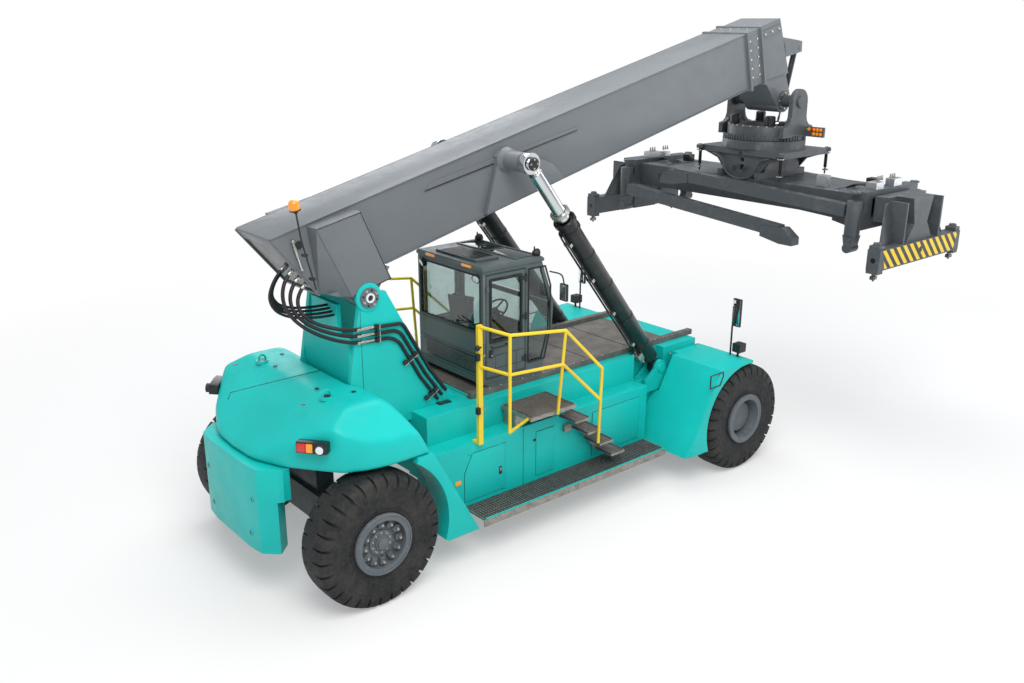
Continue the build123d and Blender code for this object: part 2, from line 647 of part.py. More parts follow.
def boarding_steps():
    """A platform beside the cab door and the steps down from it, both sides."""
    under = PLATFORM_TOP_Z - PLATFORM_T
    front = PLATFORM_X[1]
    platform = span(PLATFORM_X, (FRAME_OUTER_Y + 1, PLATFORM_OUTER_Y), (under, PLATFORM_TOP_Z))
    leg = span((2360, 2420), (FRAME_OUTER_Y + 20, CABINET_Y - 20),
               (CABINET_TOP_Z + LEDGE_T + FIT_GAP, under + 1))
    skirt = span((PLATFORM_X[0] + 20, front - 20), (1180, 1200), (under - 150, under + 1))
    shape = platform + leg + Pos(620, 0, 0) * leg + skirt
    for i in range(STEP_COUNT):
        x = front - 60 + STEP_RUN * i
        z = PLATFORM_TOP_Z - STEP_RISE * (i + 1)
        shape += span((x, x + STEP_DEPTH), (STEP_INNER_Y, STEP_OUTER_Y), (z - STEP_T, z))
    last_x = front + STEP_RUN * (STEP_COUNT - 1)
    last_z = PLATFORM_TOP_Z - STEP_RISE * STEP_COUNT - STEP_T
    slope = [(front - 100, PLATFORM_TOP_Z - 20), (front, PLATFORM_TOP_Z - 20), (last_x + 200, last_z),
             (last_x - 60, last_z)]
    stringer = plate(slope, (STEP_INNER_Y - 6, STEP_INNER_Y + 8))
    hanger = span((3180, 3300), (CABINET_Y + FIT_GAP, STEP_INNER_Y), (1180, 1280))
    return both(shape + stringer + hanger)


def tube_run(points, radius):
    """A chain of round tubes with ball joints at its corners, a little proud: a union of equal radii drops tubes."""
    shape = rod(points[0], points[1], radius)
    for a, b in zip(points[1:], points[2:]):
        shape += Pos(*a) * Sphere(radius + TUBE_BALL_PROUD)
        shape += rod(a, b, radius)
    return shape


def handrails():
    """Yellow guard rails round the boarding platforms."""
    beside_tube = RAIL_TUBE_R + FIT_GAP
    ledge = CABINET_TOP_Z + LEDGE_T + FIT_GAP
    corner = (2770, 1700, 2820)
    low_corner = (1860, 1700, 1690)
    runs = (
        [(1700, 1335, 2990), (1860, 1700, 2940), corner, (3470, 1670, 2150),
         (3470, STEP_OUTER_Y + beside_tube, 1070)],
        [corner, (2770, PLATFORM_OUTER_Y + beside_tube, 1660)],
        [(1700, 1335, 2480), (1860, 1700, 2440), (2770, 1665, 2360), (3470, 1655, 1700)],
        [(1860, 1700, 2940), low_corner, (PLATFORM_X[0] - 8.3, 1500, 1675)],
    )
    rail = (span((1665, 1735), (1290, 1335), (ledge, 3010))
            + span((1665, 1735), (1200, 1336), (ledge, CABINET_TOP_Z + 60)))
    for run in runs:
        rail += tube_run(run, RAIL_TUBE_R)
    return both(rail)


def mirrors():
    """Mirror posts, mirrors and work lamps on the front fenders."""
    x = FRONT_AXLE_X + 55
    foot = FENDER_TOP_Z + FIT_GAP
    post = tube_run([(x, 1633, foot), (x, 1633, 2160), (x + 55, 1650, 2560)], MIRROR_POST_R)
    mirror_body = Pos(x + 65, 1655, 2370) * Box(50, 150, 420)
    mirror_body = fillet(mirror_body.edges().filter_by(Axis.Z), 18)
    lamp = Pos(x + 35, 1760, 1860) * Box(150, 140, 130)
    stem = disc_z(x + 15, 1760, 18, (foot, 1800))
    return post + mirror_body + lamp + stem


# ---- cab ----

def shrunk(points, amount):
    """An outline in x and z, moved inward by an amount."""
    face = make_face(Polyline(*[(x, 0, z) for x, z in points], close=True))
    return offset(face, -amount, kind=Kind.INTERSECTION)


def prism(face, y):
    """A face in x and z carried across y."""
    return Pos(0, y[0], 0) * extrude(face, y[1] - y[0], dir=(0, 1, 0))


def side_window(clear):
    """The outline of the side window ahead of the door, less a clearance."""
    x = PILLAR_FRONT_X + clear
    bottom = WINDOW_BOTTOM_Z + clear
    top = WINDOW_TOP_Z - clear
    return [(x, bottom), (3255 - clear, bottom), (3375 - clear, 2460), (3400 - clear, 2860), (3225, top),
            (x, top)]


def cab_frame():
    """The cab's floor, posts, sills and lower panels, with door and window openings."""
    shell = plate(CAB_OUTLINE, (-CAB_HALF_W, CAB_HALF_W))
    shell -= prism(shrunk(CAB_OUTLINE, CAB_WALL), (-CAB_HALF_W + CAB_WALL, CAB_HALF_W - CAB_WALL))
    out = CAB_HALF_W + 5
    shell -= span((DOOR_REAR_X, DOOR_FRONT_X), (-out, out), (DOOR_SILL_Z, DOOR_HEAD_Z))
    shell -= plate(side_window(0), (-out, out))
    screen_y = CAB_HALF_W - SCREEN_SIDE
    for z in ((WINDOW_BOTTOM_Z, SCREEN_SPLIT_Z[0]), (SCREEN_SPLIT_Z[1], SCREEN_TOP_Z)):
        shell -= span((3060, 3600), (-screen_y, screen_y), z)
    shell -= span((CAB_REAR_X - 10, CAB_REAR_X + 100), (-screen_y, screen_y), REAR_WINDOW_Z)
    skid = span((CAB_REAR_X + 40, 3180), (RAIL_Y - SKID_IN, RAIL_Y + SKID_OUT),
                (DECK_Z + RAIL_H + PAD_GAP, CAB_FLOOR_Z + 20))
    skid = skid - span((2000, 3400), (CAB_HALF_W, CAB_HALF_W + 185), (CAB_FLOOR_Z - 1, CAB_FLOOR_Z + 40))
    return shell + skid + flipped(skid)


def cab_roof():
    """The roof panel with its drip edge."""
    top = CAB_ROOF_Z + FIT_GAP
    side = CAB_HALF_W + ROOF_OVER
    roof = span((CAB_REAR_X - 15, 3265), (-side, side), (top, top + ROOF_T))
    return chamfer(roof.edges().group_by(Axis.Z)[-1], 22)


def cab_glass():
    """Fixed panes, each seated in its opening."""
    pane_y = CAB_HALF_W - SCREEN_SIDE - FIT_GAP
    floor, knee, brow, top = CAB_NOSE
    screens = ((knee, brow, knee[1], SCREEN_SPLIT_Z[0]),
               (floor, knee, WINDOW_BOTTOM_Z + FIT_GAP, knee[1] - 1),
               (brow, top, brow[1], SCREEN_TOP_Z))
    panes = []
    for low, high, bottom_z, top_z in screens:
        slope = (high[0] - low[0]) / (high[1] - low[1])
        x0 = low[0] + slope * (bottom_z - low[1]) - GLASS_IN
        x1 = low[0] + slope * (top_z - low[1]) - GLASS_IN
        face = [(x0, bottom_z), (x1, top_z - FIT_GAP), (x1 - GLASS_T, top_z - FIT_GAP),
                (x0 - GLASS_T, bottom_z)]
        panes.append(plate(face, (-pane_y, pane_y)))
    side_pane = plate(side_window(FIT_GAP),
                      (CAB_HALF_W - SIDE_GLASS_IN, CAB_HALF_W - SIDE_GLASS_IN + GLASS_T))
    rear = span((CAB_REAR_X + 12, CAB_REAR_X + 12 + GLASS_T), (-pane_y, pane_y),
                (REAR_WINDOW_Z[0] + FIT_GAP, REAR_WINDOW_Z[1] - FIT_GAP))
    panes += [side_pane, flipped(side_pane), rear]
    return Compound(children=[p.solid() for p in panes])


def door():
    """The left door leaf with its window cut out."""
    y = (CAB_HALF_W - DOOR_T, CAB_HALF_W)
    leaf = span((DOOR_REAR_X + DOOR_GAP, DOOR_FRONT_X - DOOR_GAP), y,
                (DOOR_SILL_Z + DOOR_GAP, DOOR_HEAD_Z - DOOR_GAP))
    leaf -= span(DOOR_WINDOW_X, (y[0] - 5, y[1] + 5), DOOR_WINDOW_Z)
    handle = span((DOOR_FRONT_X - 60, DOOR_FRONT_X - 30), (y[1] - 1, y[1] + 30), (2480, 2640))
    shape = leaf + handle
    for low, high in ((2150, 2230), (3180, 3260)):
        shape += disc_z(DOOR_REAR_X, CAB_HALF_W + DOOR_HINGE_OUT, DOOR_HINGE_R, (low, high))
        shape += span((DOOR_REAR_X, DOOR_REAR_X + 40), (CAB_HALF_W - 1, CAB_HALF_W + 20), (low + 5, high - 5))
    return shape


def door_glass():
    """The left door's pane."""
    x = (DOOR_WINDOW_X[0] + FIT_GAP, DOOR_WINDOW_X[1] - FIT_GAP)
    z = (DOOR_WINDOW_Z[0] + FIT_GAP, DOOR_WINDOW_Z[1] - FIT_GAP)
    return span(x, (CAB_HALF_W - DOOR_GLASS_IN, CAB_HALF_W - DOOR_GLASS_IN + GLASS_T), z)


def seat_base():
    """The operator's seat pedestal, suspension box and armrests."""
    pedestal = span((2520, 2780), (-160, 160), (FLOOR_TOP_Z + FIT_GAP, 2330))
    pan = span((2440, 2860), (-230, 230), (2330, 2365))
    shell = bar((2455, 0, 2365), (2370, 0, 2960), 420, 30)
    arm = bar((2430, -270, 2600), (2790, -270, 2570), 60, 50) + span((2440, 2500), (-300, -230), (2340, 2600))
    return pedestal + pan + shell + arm + flipped(arm)


def seat_cushions():
    """The seat's cushion and backrest."""
    cushion = fillet(span((2480, 2900), (-215, 215), (2365 + FIT_GAP, 2460)).edges(), 25)
    block = Box(400, 85, 520, align=(Align.CENTER, Align.CENTER, Align.MIN))
    back = Plane(origin=(2497, 0, 2480), x_dir=(0, 1, 0), z_dir=(-85, 0, 595)) * fillet(block.edges(), 25)
    return Compound(children=[cushion.solid(), back.solid()])


def cab_controls():
    """Dashboard, steering column and steering wheel."""
    foot = FLOOR_TOP_Z + FIT_GAP
    dash = plate([(3060, foot), (3180, foot), (3240, 2150), (3320, 2480), (3200, 2530), (3130, 2450)],
                 (-260, 260))
    column = rod((3150, 0, 2480), (3010, 0, 2660), 30)
    centre = Plane(origin=(3010, 0, 2660), z_dir=(-140, 0, 180))
    wheel = centre * (Torus(STEERING_WHEEL_R, STEERING_RIM_R) + Cylinder(45, 30) + Box(380, 24, 14)
                      + Box(24, 380, 14))
    return dash + column + wheel


# ---- boom ----

def tail_edge(along, outward):
    """A point (s, t) on the boom's sloping tail: so far up the slope from its foot, and so far behind it."""
    foot = Vector(BOOM_TAIL_FOOT_S, BOOM_BOTTOM_T)
    slope = (Vector(BOOM_TAIL_S, BOOM_TOP_T) - foot).normalized()
    point = foot + slope * along + Vector(-slope.Y, slope.X) * outward
    return point.X, point.Y


def boom_outer():
    """The outer boom: a box section with a sloping tail, pivot ears, side boxes and collars."""
    half = BOOM_HALF_W
    top = BOOM_TOP_T
    bottom = BOOM_BOTTOM_T
    body = plate([(BOOM_TAIL_S, top), (BOOM_MOUTH_S, top), (BOOM_MOUTH_S, bottom),
                  (BOOM_TAIL_FOOT_S, bottom)],
                 (-half, half))
    for s in (BOOM_MOUTH_S - 400, BOOM_MOUTH_S - COLLAR_W):
        body += span((s, s + COLLAR_W), (-half - 35, half + 35), (bottom - 40, top + 20))
    ear_y = (half - BOOM_EAR_W, TOWER_Y - BOOM_SIDE_PLAY)
    ear = plate([(-430, bottom + 1), (430, bottom + 1), (150, -30), (-60, -110), (-170, 20)], ear_y)
    ear += disc_y(0, 0, BOOM_EAR_R, ear_y)
    box = plate([(-440, 190), (-460, top - 10), (170, top - 10), (240, 190)], (half - 1, TOWER_Y + TOWER_T))
    body += ear + flipped(ear) + box + flipped(box)
    cross_end = LIFT_Y - LIFT_ROD_R - SIDE_GAP
    cross = disc_y(LIFT_PIN_S, LIFT_PIN_T, LIFT_CROSS_R, (-cross_end, cross_end))
    gusset = plate([(LIFT_PIN_S - 480, bottom + 40), (LIFT_PIN_S + 900, bottom + 40),
                    (LIFT_PIN_S + 750, bottom + 300),
                    (LIFT_PIN_S + 150, LIFT_PIN_T + 90), (LIFT_PIN_S - 120, LIFT_PIN_T + 90)],
                   (half - 1, half + 90))
    body += cross + gusset + flipped(gusset)
    inside = plate([(BOOM_TAIL_S + 60, top - BOOM_WALL), (BOOM_MOUTH_S + 60, top - BOOM_WALL),
                    (BOOM_MOUTH_S + 60, bottom + BOOM_WALL), (-440, bottom + BOOM_WALL)],
                   (-half + BOOM_WALL, half - BOOM_WALL))
    body -= inside
    gap = INNER_GAP - PAD_GAP
    wall = half - BOOM_WALL
    s = (BOOM_MOUTH_S - 260, BOOM_MOUTH_S - 60)
    body += span(s, (-PAD_HALF_W, PAD_HALF_W), (bottom + BOOM_WALL - 1, bottom + BOOM_WALL + gap))
    for y in ((wall - gap, wall + 1), (-wall - 1, -wall + gap)):
        body += span(s, y, PAD_T)
    bore = disc_y(0, 0, PIVOT_R + PIN_GAP, (-TOWER_Y - 100, TOWER_Y + 100))
    return BOOM * (body - bore)


def boom_inner():
    """The sliding boom section with its head, head lug and damper bracket."""
    tube = span((INNER_START_S, BOOM_MOUTH_S + 20), (-INNER_HALF_W, INNER_HALF_W),
                (INNER_BOTTOM_T, INNER_TOP_T))
    tube -= span((INNER_START_S - 1, BOOM_MOUTH_S + 21),
                 (-INNER_HALF_W + INNER_WALL, INNER_HALF_W - INNER_WALL),
                 (INNER_BOTTOM_T + INNER_WALL, INNER_TOP_T - INNER_WALL))
    gap = INNER_GAP - PAD_GAP
    s = (INNER_START_S + 50, INNER_START_S + 300)
    tube += span(s, (-PAD_HALF_W, PAD_HALF_W), (INNER_TOP_T - 1, INNER_TOP_T + gap))
    for y in ((INNER_HALF_W - 1, INNER_HALF_W + gap), (-INNER_HALF_W - gap, -INNER_HALF_W + 1)):
        tube += span(s, y, PAD_T)
    head = plate([(HEAD_START_S, 215), (HEAD_START_S, BOOM_TOP_T), (HEAD_END_S - 20, BOOM_TOP_T),
                  (HEAD_END_S + 30, 700),
                  (HEAD_END_S + 110, 150)], (-HEAD_HALF_W, HEAD_HALF_W))
    lug_y = (-HEAD_LUG_HALF_W, HEAD_LUG_HALF_W)
    lug = plate([(HEAD_START_S + 60, 216), (HEAD_END_S + 90, 216), (HEAD_END_S + HEAD_LUG_R, HEAD_PIN_T),
                 (HEAD_END_S - HEAD_LUG_R, HEAD_PIN_T - 30)], lug_y)
    lug += disc_y(HEAD_END_S, HEAD_PIN_T, HEAD_LUG_R, lug_y)
    lug -= span((HEAD_END_S + 90, HEAD_END_S + 300), (-DAMPER_SLOT_Y, DAMPER_SLOT_Y),
                (HEAD_PIN_T - 200, HEAD_PIN_T + 120))
    near = DAMPER_EYE_W / 2 + DAMPER_LUG_GAP
    far = near + DAMPER_LUG_T
    bracket = []
    for y in ((near, far), (-far, -near)):
        bracket.append(plate([(HEAD_END_S, 800), (DAMPER_TOP_S - 60, DAMPER_TOP_T + 150),
                              (DAMPER_TOP_S + 90, DAMPER_TOP_T + 90), (DAMPER_TOP_S + 60, DAMPER_TOP_T - 80),
                              (HEAD_END_S + 40, 330)], y))
    pin = disc_y(DAMPER_TOP_S, DAMPER_TOP_T, DAMPER_PIN_R, (-far - 10, far + 10))
    bore = disc_y(HEAD_END_S, HEAD_PIN_T, HEAD_PIN_R + PIN_GAP, (-500, 500))
    return BOOM * (tube + head + lug + bracket[0] + bracket[1] + pin - bore)


def lift_barrels():
    """Both lift cylinder barrels, each with its foot eye."""
    foot = (LIFT_FOOT_X, LIFT_Y, LIFT_FOOT_Z)
    pin = (LIFT_PIN_X, LIFT_Y, LIFT_PIN_Z)
    axis = (Vector(*pin) - Vector(*foot)).normalized()
    start = Vector(*foot) + axis * 230
    end = Vector(*foot) + axis * LIFT_BARREL_LEN
    tube = rod(start, end, LIFT_BARREL_R) + rod(end - axis * LIFT_CAP_LEN, end, LIFT_BARREL_R + LIFT_CAP_OUT)
    tube += rod(Vector(*foot) + axis * 70, start + axis * 2, 60)
    tube -= rod(Vector(*foot) + axis * 270, end + axis, LIFT_ROD_R + PIN_GAP)
    half = LIFT_FOOT_EYE_W / 2
    eye = disc_y(LIFT_FOOT_X, LIFT_FOOT_Z, LIFT_FOOT_EYE_R, (LIFT_Y - half, LIFT_Y + half))
    eye -= disc_y(LIFT_FOOT_X, LIFT_FOOT_Z, LIFT_PIN_R + PIN_GAP, (LIFT_Y - half - 5, LIFT_Y + half + 5))
    return both(tube + eye)


def lift_rods():
    """Both lift cylinder rods, each with its eye and pin."""
    foot = (LIFT_FOOT_X, LIFT_Y, LIFT_FOOT_Z)
    pin = (LIFT_PIN_X, LIFT_Y, LIFT_PIN_Z)
    axis = (Vector(*pin) - Vector(*foot)).normalized()
    shoulder = Vector(*pin) - axis * (LIFT_EYE_R + 35)
    shape = rod(Vector(*pin) - axis * LIFT_ROD_LEN, shoulder, LIFT_ROD_R)
    shape += rod(shoulder - axis * 5, Vector(*pin) - axis * 60, LIFT_EYE_W / 2 - 3)
    shape += disc_y(LIFT_PIN_X, LIFT_PIN_Z, LIFT_EYE_R, (LIFT_Y - LIFT_EYE_W / 2, LIFT_Y + LIFT_EYE_W / 2))
    boss = LIFT_ROD_R - 4
    shape += disc_y(LIFT_PIN_X, LIFT_PIN_Z, LIFT_PIN_R + 15, (LIFT_Y - boss, LIFT_Y + boss))
    return both(shape)


# ---- rotator ----

def damper_axis():
    """The damping cylinder's two pins and the direction from the upper one to the lower one."""
    top = Vector(DAMPER_TOP_X, 0, DAMPER_TOP_Z)
    foot = Vector(DAMPER_FOOT_X, 0, DAMPER_FOOT_Z)
    return top, foot, (foot - top).normalized()


def damper_barrel():
    """The damping cylinder's barrel, hung from the boom's nose."""
    top, foot, axis = damper_axis()
    end = top + axis * DAMPER_BARREL_LEN
    tube = rod(top + axis * 50, end, DAMPER_R) - rod(top + axis * 90, end + axis, DAMPER_ROD_R + PIN_GAP)
    eye = disc_y(DAMPER_TOP_X, DAMPER_TOP_Z, DAMPER_TOP_EYE_R, (-DAMPER_EYE_W / 2, DAMPER_EYE_W / 2))
    return tube + eye - disc_y(DAMPER_TOP_X, DAMPER_TOP_Z, DAMPER_PIN_R + PIN_GAP, (-100, 100))


def damper_rod():
    """The damping cylinder's rod, with its eye."""
    top, foot, axis = damper_axis()
    shape = rod(top + axis * 250, foot - axis * 30, DAMPER_ROD_R)
    return shape + disc_y(DAMPER_FOOT_X, DAMPER_FOOT_Z, DAMPER_FOOT_EYE_R,
                          (-DAMPER_EYE_W / 2, DAMPER_EYE_W / 2))


def rotator_yoke():
    """The ring housing with two upright ears that hang from the boom head's pin."""
    ring = disc_z(SLEW_X, 0, RING_R - 40, (RING_SPLIT_Z + 40, RING_TOP_Z))
    ring += disc_z(SLEW_X, 0, RING_R, (RING_SPLIT_Z, RING_SPLIT_Z + 60))
    ring -= disc_z(SLEW_X, 0, RING_R - 40 - RING_WALL, (RING_SPLIT_Z + 60, RING_TOP_Z + 10))
    y = (YOKE_EAR_Y - YOKE_EAR_T, YOKE_EAR_Y)
    half = [(HEAD_EAR_R, HEAD_Z - RING_TOP_Z), (HEAD_EAR_R + 5, 160), (HEAD_EAR_R + 35, 80),
            (HEAD_EAR_R + 95, 25),
            (HEAD_EAR_R + 200, 0)]
    edge = [(SLEW_X + x, RING_TOP_Z + z) for x, z in half] + [(SLEW_X + HEAD_EAR_R + 200, RING_SPLIT_Z + 61)]
    ear = plate(edge + [(2 * SLEW_X - x, z) for x, z in reversed(edge)], y)
    ear += disc_y(HEAD_X, HEAD_Z, HEAD_EAR_R, y)
    pin = disc_y(HEAD_X, HEAD_Z, HEAD_PIN_R, (-YOKE_EAR_Y - 30, YOKE_EAR_Y + 30))
    near = DAMPER_EYE_W / 2 + 8
    far = DAMPER_EYE_W / 2 + DAMPER_LUG_GAP + DAMPER_LUG_T
    lug = plate([(DAMPER_FOOT_X - 70, RING_TOP_Z - 150), (DAMPER_FOOT_X + 130, RING_TOP_Z - 150),
                 (DAMPER_FOOT_X + 90, DAMPER_FOOT_Z + 60), (DAMPER_FOOT_X - 50, DAMPER_FOOT_Z + 70)],
                (near, far))
    lamp = span((SLEW_X + 250, SLEW_X + 300), (-980, -600), (RING_TOP_Z - 170, RING_TOP_Z - 10))
    return ring + ear + flipped(ear) + pin + lug + flipped(lug) + lamp


def slew_frame():
    """The slewing base ring, its square frame and the rocker plates that carry the spreader."""
    top = SLEW_TOP_Z
    shape = disc_z(SLEW_X, 0, RING_R + 30, (top - 1, RING_SPLIT_Z - PAD_GAP))
    shape += span((SLEW_X - SLEW_HALF_X, SLEW_X + SLEW_HALF_X), (-SLEW_HALF_Y, SLEW_HALF_Y),
                  (top - SLEW_PLATE_T, top))
    half = [(180, MAIN_TOP_Z + PAD_GAP), (330, MAIN_TOP_Z + 60), (520, top - 200),
            (SLEW_HALF_Y - 40, top - SLEW_PLATE_T + 1)]
    rocker = [(-y, z) for y, z in reversed(half)] + half
    for x in (SLEW_X - SLEW_HALF_X + 60, SLEW_X + SLEW_HALF_X - 60 - ROCKER_T):
        shape += end_plate(rocker, (x, x + ROCKER_T))
        shape -= rod((x - 5, 0, top - 190), (x + ROCKER_T + 5, 0, top - 190), 38)
        shape -= span((x - 5, x + ROCKER_T + 5), (-45, 45), (MAIN_TOP_Z + 120, MAIN_TOP_Z + 210))
    near = MAIN_HALF_X + SIDE_GAP
    far = MAIN_HALF_X + 60
    for y in ((-420, -340), (340, 420)):
        guide = span((SLEW_X - far, SLEW_X + far), y, (MAIN_TOP_Z + PAD_GAP, MAIN_TOP_Z + 110))
        web = span((SLEW_X - 480, SLEW_X + 480), y, (MAIN_TOP_Z + 100, top - SLEW_PLATE_T + 1))
        shape += guide + web
        for x in ((SLEW_X - far, SLEW_X - near), (SLEW_X + near, SLEW_X + far)):
            shape += span(x, y, (MAIN_TOP_Z - 70, MAIN_TOP_Z + 20))
    return shape


def slope_cylinders():
    """Four small upright cylinders at the corners of the slewing frame."""
    room_x = SLEW_HALF_X + FIT_GAP
    room = span((SLEW_X - room_x, SLEW_X + room_x), (-2000, 2000), (SLEW_TOP_Z - 500, SLEW_TOP_Z + 100))
    parts = []
    for sx in (-1, 1):
        for sy in (-1, 1):
            x = SLEW_X + sx * (SLEW_HALF_X + 28)
            y = sy * (SLEW_HALF_Y - 35)
            body = disc_z(x, y, CORNER_CYLINDER_R, (SLEW_TOP_Z - 330, SLEW_TOP_Z - 10))
            body += disc_z(x, y, 13, (SLEW_TOP_Z - 440, SLEW_TOP_Z - 329))
            body += Pos(x, y, SLEW_TOP_Z - 20) * Sphere(38)
            parts.append((body - room).solid())
    return Compound(children=parts)


# ---- spreader ----

def spreader_frame():
    """The spreader's main body: a box with two through pockets for the sliding arms, and end portals."""
    z = (MAIN_TOP_Z - MAIN_H, MAIN_TOP_Z)
    body = span((SLEW_X - MAIN_HALF_X, SLEW_X + MAIN_HALF_X), (-MAIN_HALF_Y, MAIN_HALF_Y), z)
    for y in ((-MAIN_HALF_Y, -MAIN_HALF_Y + PORTAL_W), (MAIN_HALF_Y - PORTAL_W, MAIN_HALF_Y)):
        body += span((SLEW_X - PORTAL_HALF_X, SLEW_X + PORTAL_HALF_X), y, (z[0] - 120, z[1] + 70))
    for pocket in POCKETS:
        body -= span((SLEW_X + pocket[0], SLEW_X + pocket[1]), (-MAIN_HALF_Y - 10, MAIN_HALF_Y + 10),
                     (z[0] + MAIN_WALL, z[1] - MAIN_WALL))
    body -= span((SLEW_X - 420, SLEW_X + 420), (-1500, 1500), (z[0] - 1, z[0] + MAIN_WALL + 1))
    for sx in (-1, 1):
        for sy in (-1, 1):
            x = SLEW_X + sx * LEG_HINGE_X
            y = sy * LEG_HINGE_Y
            body += disc_z(x, y, LEG_BARREL_R, (z[0] - 200, z[1] - 60))
            body += span(sorted((SLEW_X + sx * 700, x)), (y - PORTAL_W / 2, y + PORTAL_W / 2),
                         (z[0] - 119, z[1] - 200))
            foot = [(y - 100, z[0] - 199), (y + 100, z[0] - 199), (y + 60, LEG_BRACKET_Z),
                    (y - 60, LEG_BRACKET_Z)]
            body += end_plate(foot, (x - 90, x + 90))
            body += rod((x - 110, y, LEG_BRACKET_Z), (x + 110, y, LEG_BRACKET_Z), 75)
    return body


def telescope(side):
    """A sliding arm with its end bracket, end beam and corner housings; side is +1 left, -1 right."""
    def ys(a, b):
        return tuple(sorted((side * a, side * b)))

    pocket = POCKETS[0] if side > 0 else POCKETS[1]
    x = (SLEW_X + pocket[0] + ARM_GAP, SLEW_X + pocket[1] - ARM_GAP)
    z = (MAIN_TOP_Z - MAIN_H + MAIN_WALL + PAD_GAP, MAIN_TOP_Z - MAIN_WALL - ARM_GAP)
    arm = span(x, ys(ARM_END_Y - ARM_LEN, ARM_END_Y), z)
    beam_y = TWISTLOCK_HALF_Y - END_BEAM_W / 2
    cross = span((SLEW_X - 560, SLEW_X + 560), ys(MAIN_HALF_Y + 40, ARM_END_Y), (z[0] - 40, MAIN_TOP_Z))
    beam_top = END_BEAM_BOTTOM_Z + END_BEAM_H
    web = plate([(SLEW_X - 300, MAIN_TOP_Z), (SLEW_X + 300, MAIN_TOP_Z), (SLEW_X + 190, beam_top + 260),
                 (SLEW_X + 380, beam_top - 1), (SLEW_X - 380, beam_top - 1), (SLEW_X - 190, beam_top + 260)],
                ys(ARM_END_Y - 1, TWISTLOCK_HALF_Y + 40))
    for x_rib in (SLEW_X - 540, SLEW_X + 500):
        web += span((x_rib, x_rib + 40), ys(ARM_END_Y - 1, beam_y + END_BEAM_W - 20),
                    (beam_top - 1, MAIN_TOP_Z - 40))
    reach = TWISTLOCK_HALF_X + END_BEAM_OVER
    beam = span((SLEW_X - reach, SLEW_X + reach), ys(beam_y, beam_y + END_BEAM_W),
                (END_BEAM_BOTTOM_Z, beam_top))
    brace = span((SLEW_X - 300, SLEW_X + 300), ys(ARM_END_Y - 60, beam_y + 1),
                 (END_BEAM_BOTTOM_Z + 40, z[0] - 39))
    shape = arm + cross + web + beam + brace
    for sx in (-1, 1):
        corner = SLEW_X + sx * TWISTLOCK_HALF_X
        corner_y = side * TWISTLOCK_HALF_Y
        shape += Pos(corner, corner_y, END_BEAM_BOTTOM_Z - 20) * Box(140, 190, 60)
        shape -= disc_z(corner, corner_y, TWISTLOCK_R + PIN_GAP,
                        (END_BEAM_BOTTOM_Z - 60, END_BEAM_BOTTOM_Z + 80))
    return shape


def twistlock(sx, side):
    """A locking head under one corner of the spreader; sx is -1 at the rear, +1 at the front."""
    x = SLEW_X + sx * TWISTLOCK_HALF_X
    y = side * TWISTLOCK_HALF_Y
    stem = disc_z(x, y, TWISTLOCK_R, (TWISTLOCK_TIP_Z + 50, END_BEAM_BOTTOM_Z + 80 - FIT_GAP))
    head = Pos(x, y, TWISTLOCK_TIP_Z + 55) * Box(104, 62, 50)
    tip = Pos(x, y, TWISTLOCK_TIP_Z + 31) * Rot(180, 0, 0) * Cone(30, 12, 62)
    return stem + head + tip


def legs(sx):
    """Two folded lifting legs along one long side; sx is -1 at the rear, +1 at the front."""
    x_in = SLEW_X + sx * LEG_HINGE_X
    parts = []
    for sy, x_far, z_hinge, z_far, reach in ((-1, 860, 3790, 3960, 3500), (1, 1040, 3560, 3330, 3550)):
        start = (x_in if sy < 0 else SLEW_X + sx * 900, sy * (LEG_HINGE_Y - LEG_BARREL_R - LEG_END_GAP),
                 z_hinge)
        end = (SLEW_X + sx * x_far, sy * (LEG_HINGE_Y - reach), z_far)
        arm = bar(start, end, 170, 190)
        y0, z0 = end[1], end[2]
        toe = [(y0 - sy * 90, z0 + 70), (y0 + sy * 330, z0 + 40), (y0 + sy * 330, z0 - 120),
               (y0 - sy * 40, z0 - 190),
               (y0 - sy * 280, z0 - 190), (y0 - sy * 280, z0 - 70)]
        foot = end_plate(toe, (end[0] - 100, end[0] + 100))
        parts.append((arm + foot).solid())
    return parts


def spreader_valves():
    """Valve blocks and the junction box on the spreader."""
    parts = []
    for x, y, size in ((SLEW_X - 200, 2340, (260, 180, 110)), (SLEW_X + 150, 2340, (160, 160, 80)),
                       (SLEW_X - 350, -2340, (220, 180, 110)), (SLEW_X + 200, -2340, (240, 150, 120))):
        parts.append((Pos(x, y, MAIN_TOP_Z + 70 + FIT_GAP + size[2] / 2) * Box(*size)).solid())
    parts.append((Pos(SLEW_X - 350, -1450, MAIN_TOP_Z + FIT_GAP + 90) * Box(150, 170, 180)).solid())
    return Compound(children=parts)


# ---- hoses ----

def beside(points, offset):
    """A chain of (x, z) points moved sideways by an even offset."""
    moved = []
    for i, point in enumerate(points):
        near = [Vector(*points[k + 1]) - Vector(*points[k]) for k in (i - 1, i) if 0 <= k < len(points) - 1]
        sides = [Vector(-d.Y, d.X).normalized() for d in near]
        if len(sides) == 2:
            out = (sides[0] + sides[1]) / (1 + sides[0].dot(sides[1]))
        else:
            out = sides[0]
        moved.append((point[0] + out.X * offset, point[1] + out.Y * offset))
    return moved


def tower_route(k):
    """The points of one clamped hose on the tower, k hoses below the middle one."""
    middle = [(TOWER_HOSE_START_X, TOWER_HOSE_Z), (1000, TOWER_HOSE_Z - 30), (1360, 2290),
              (1610, DECK_Z + 120)]
    return [(x, TOWER_HOSE_Y, z) for x, z in beside(middle, k * HOSE_PITCH)]


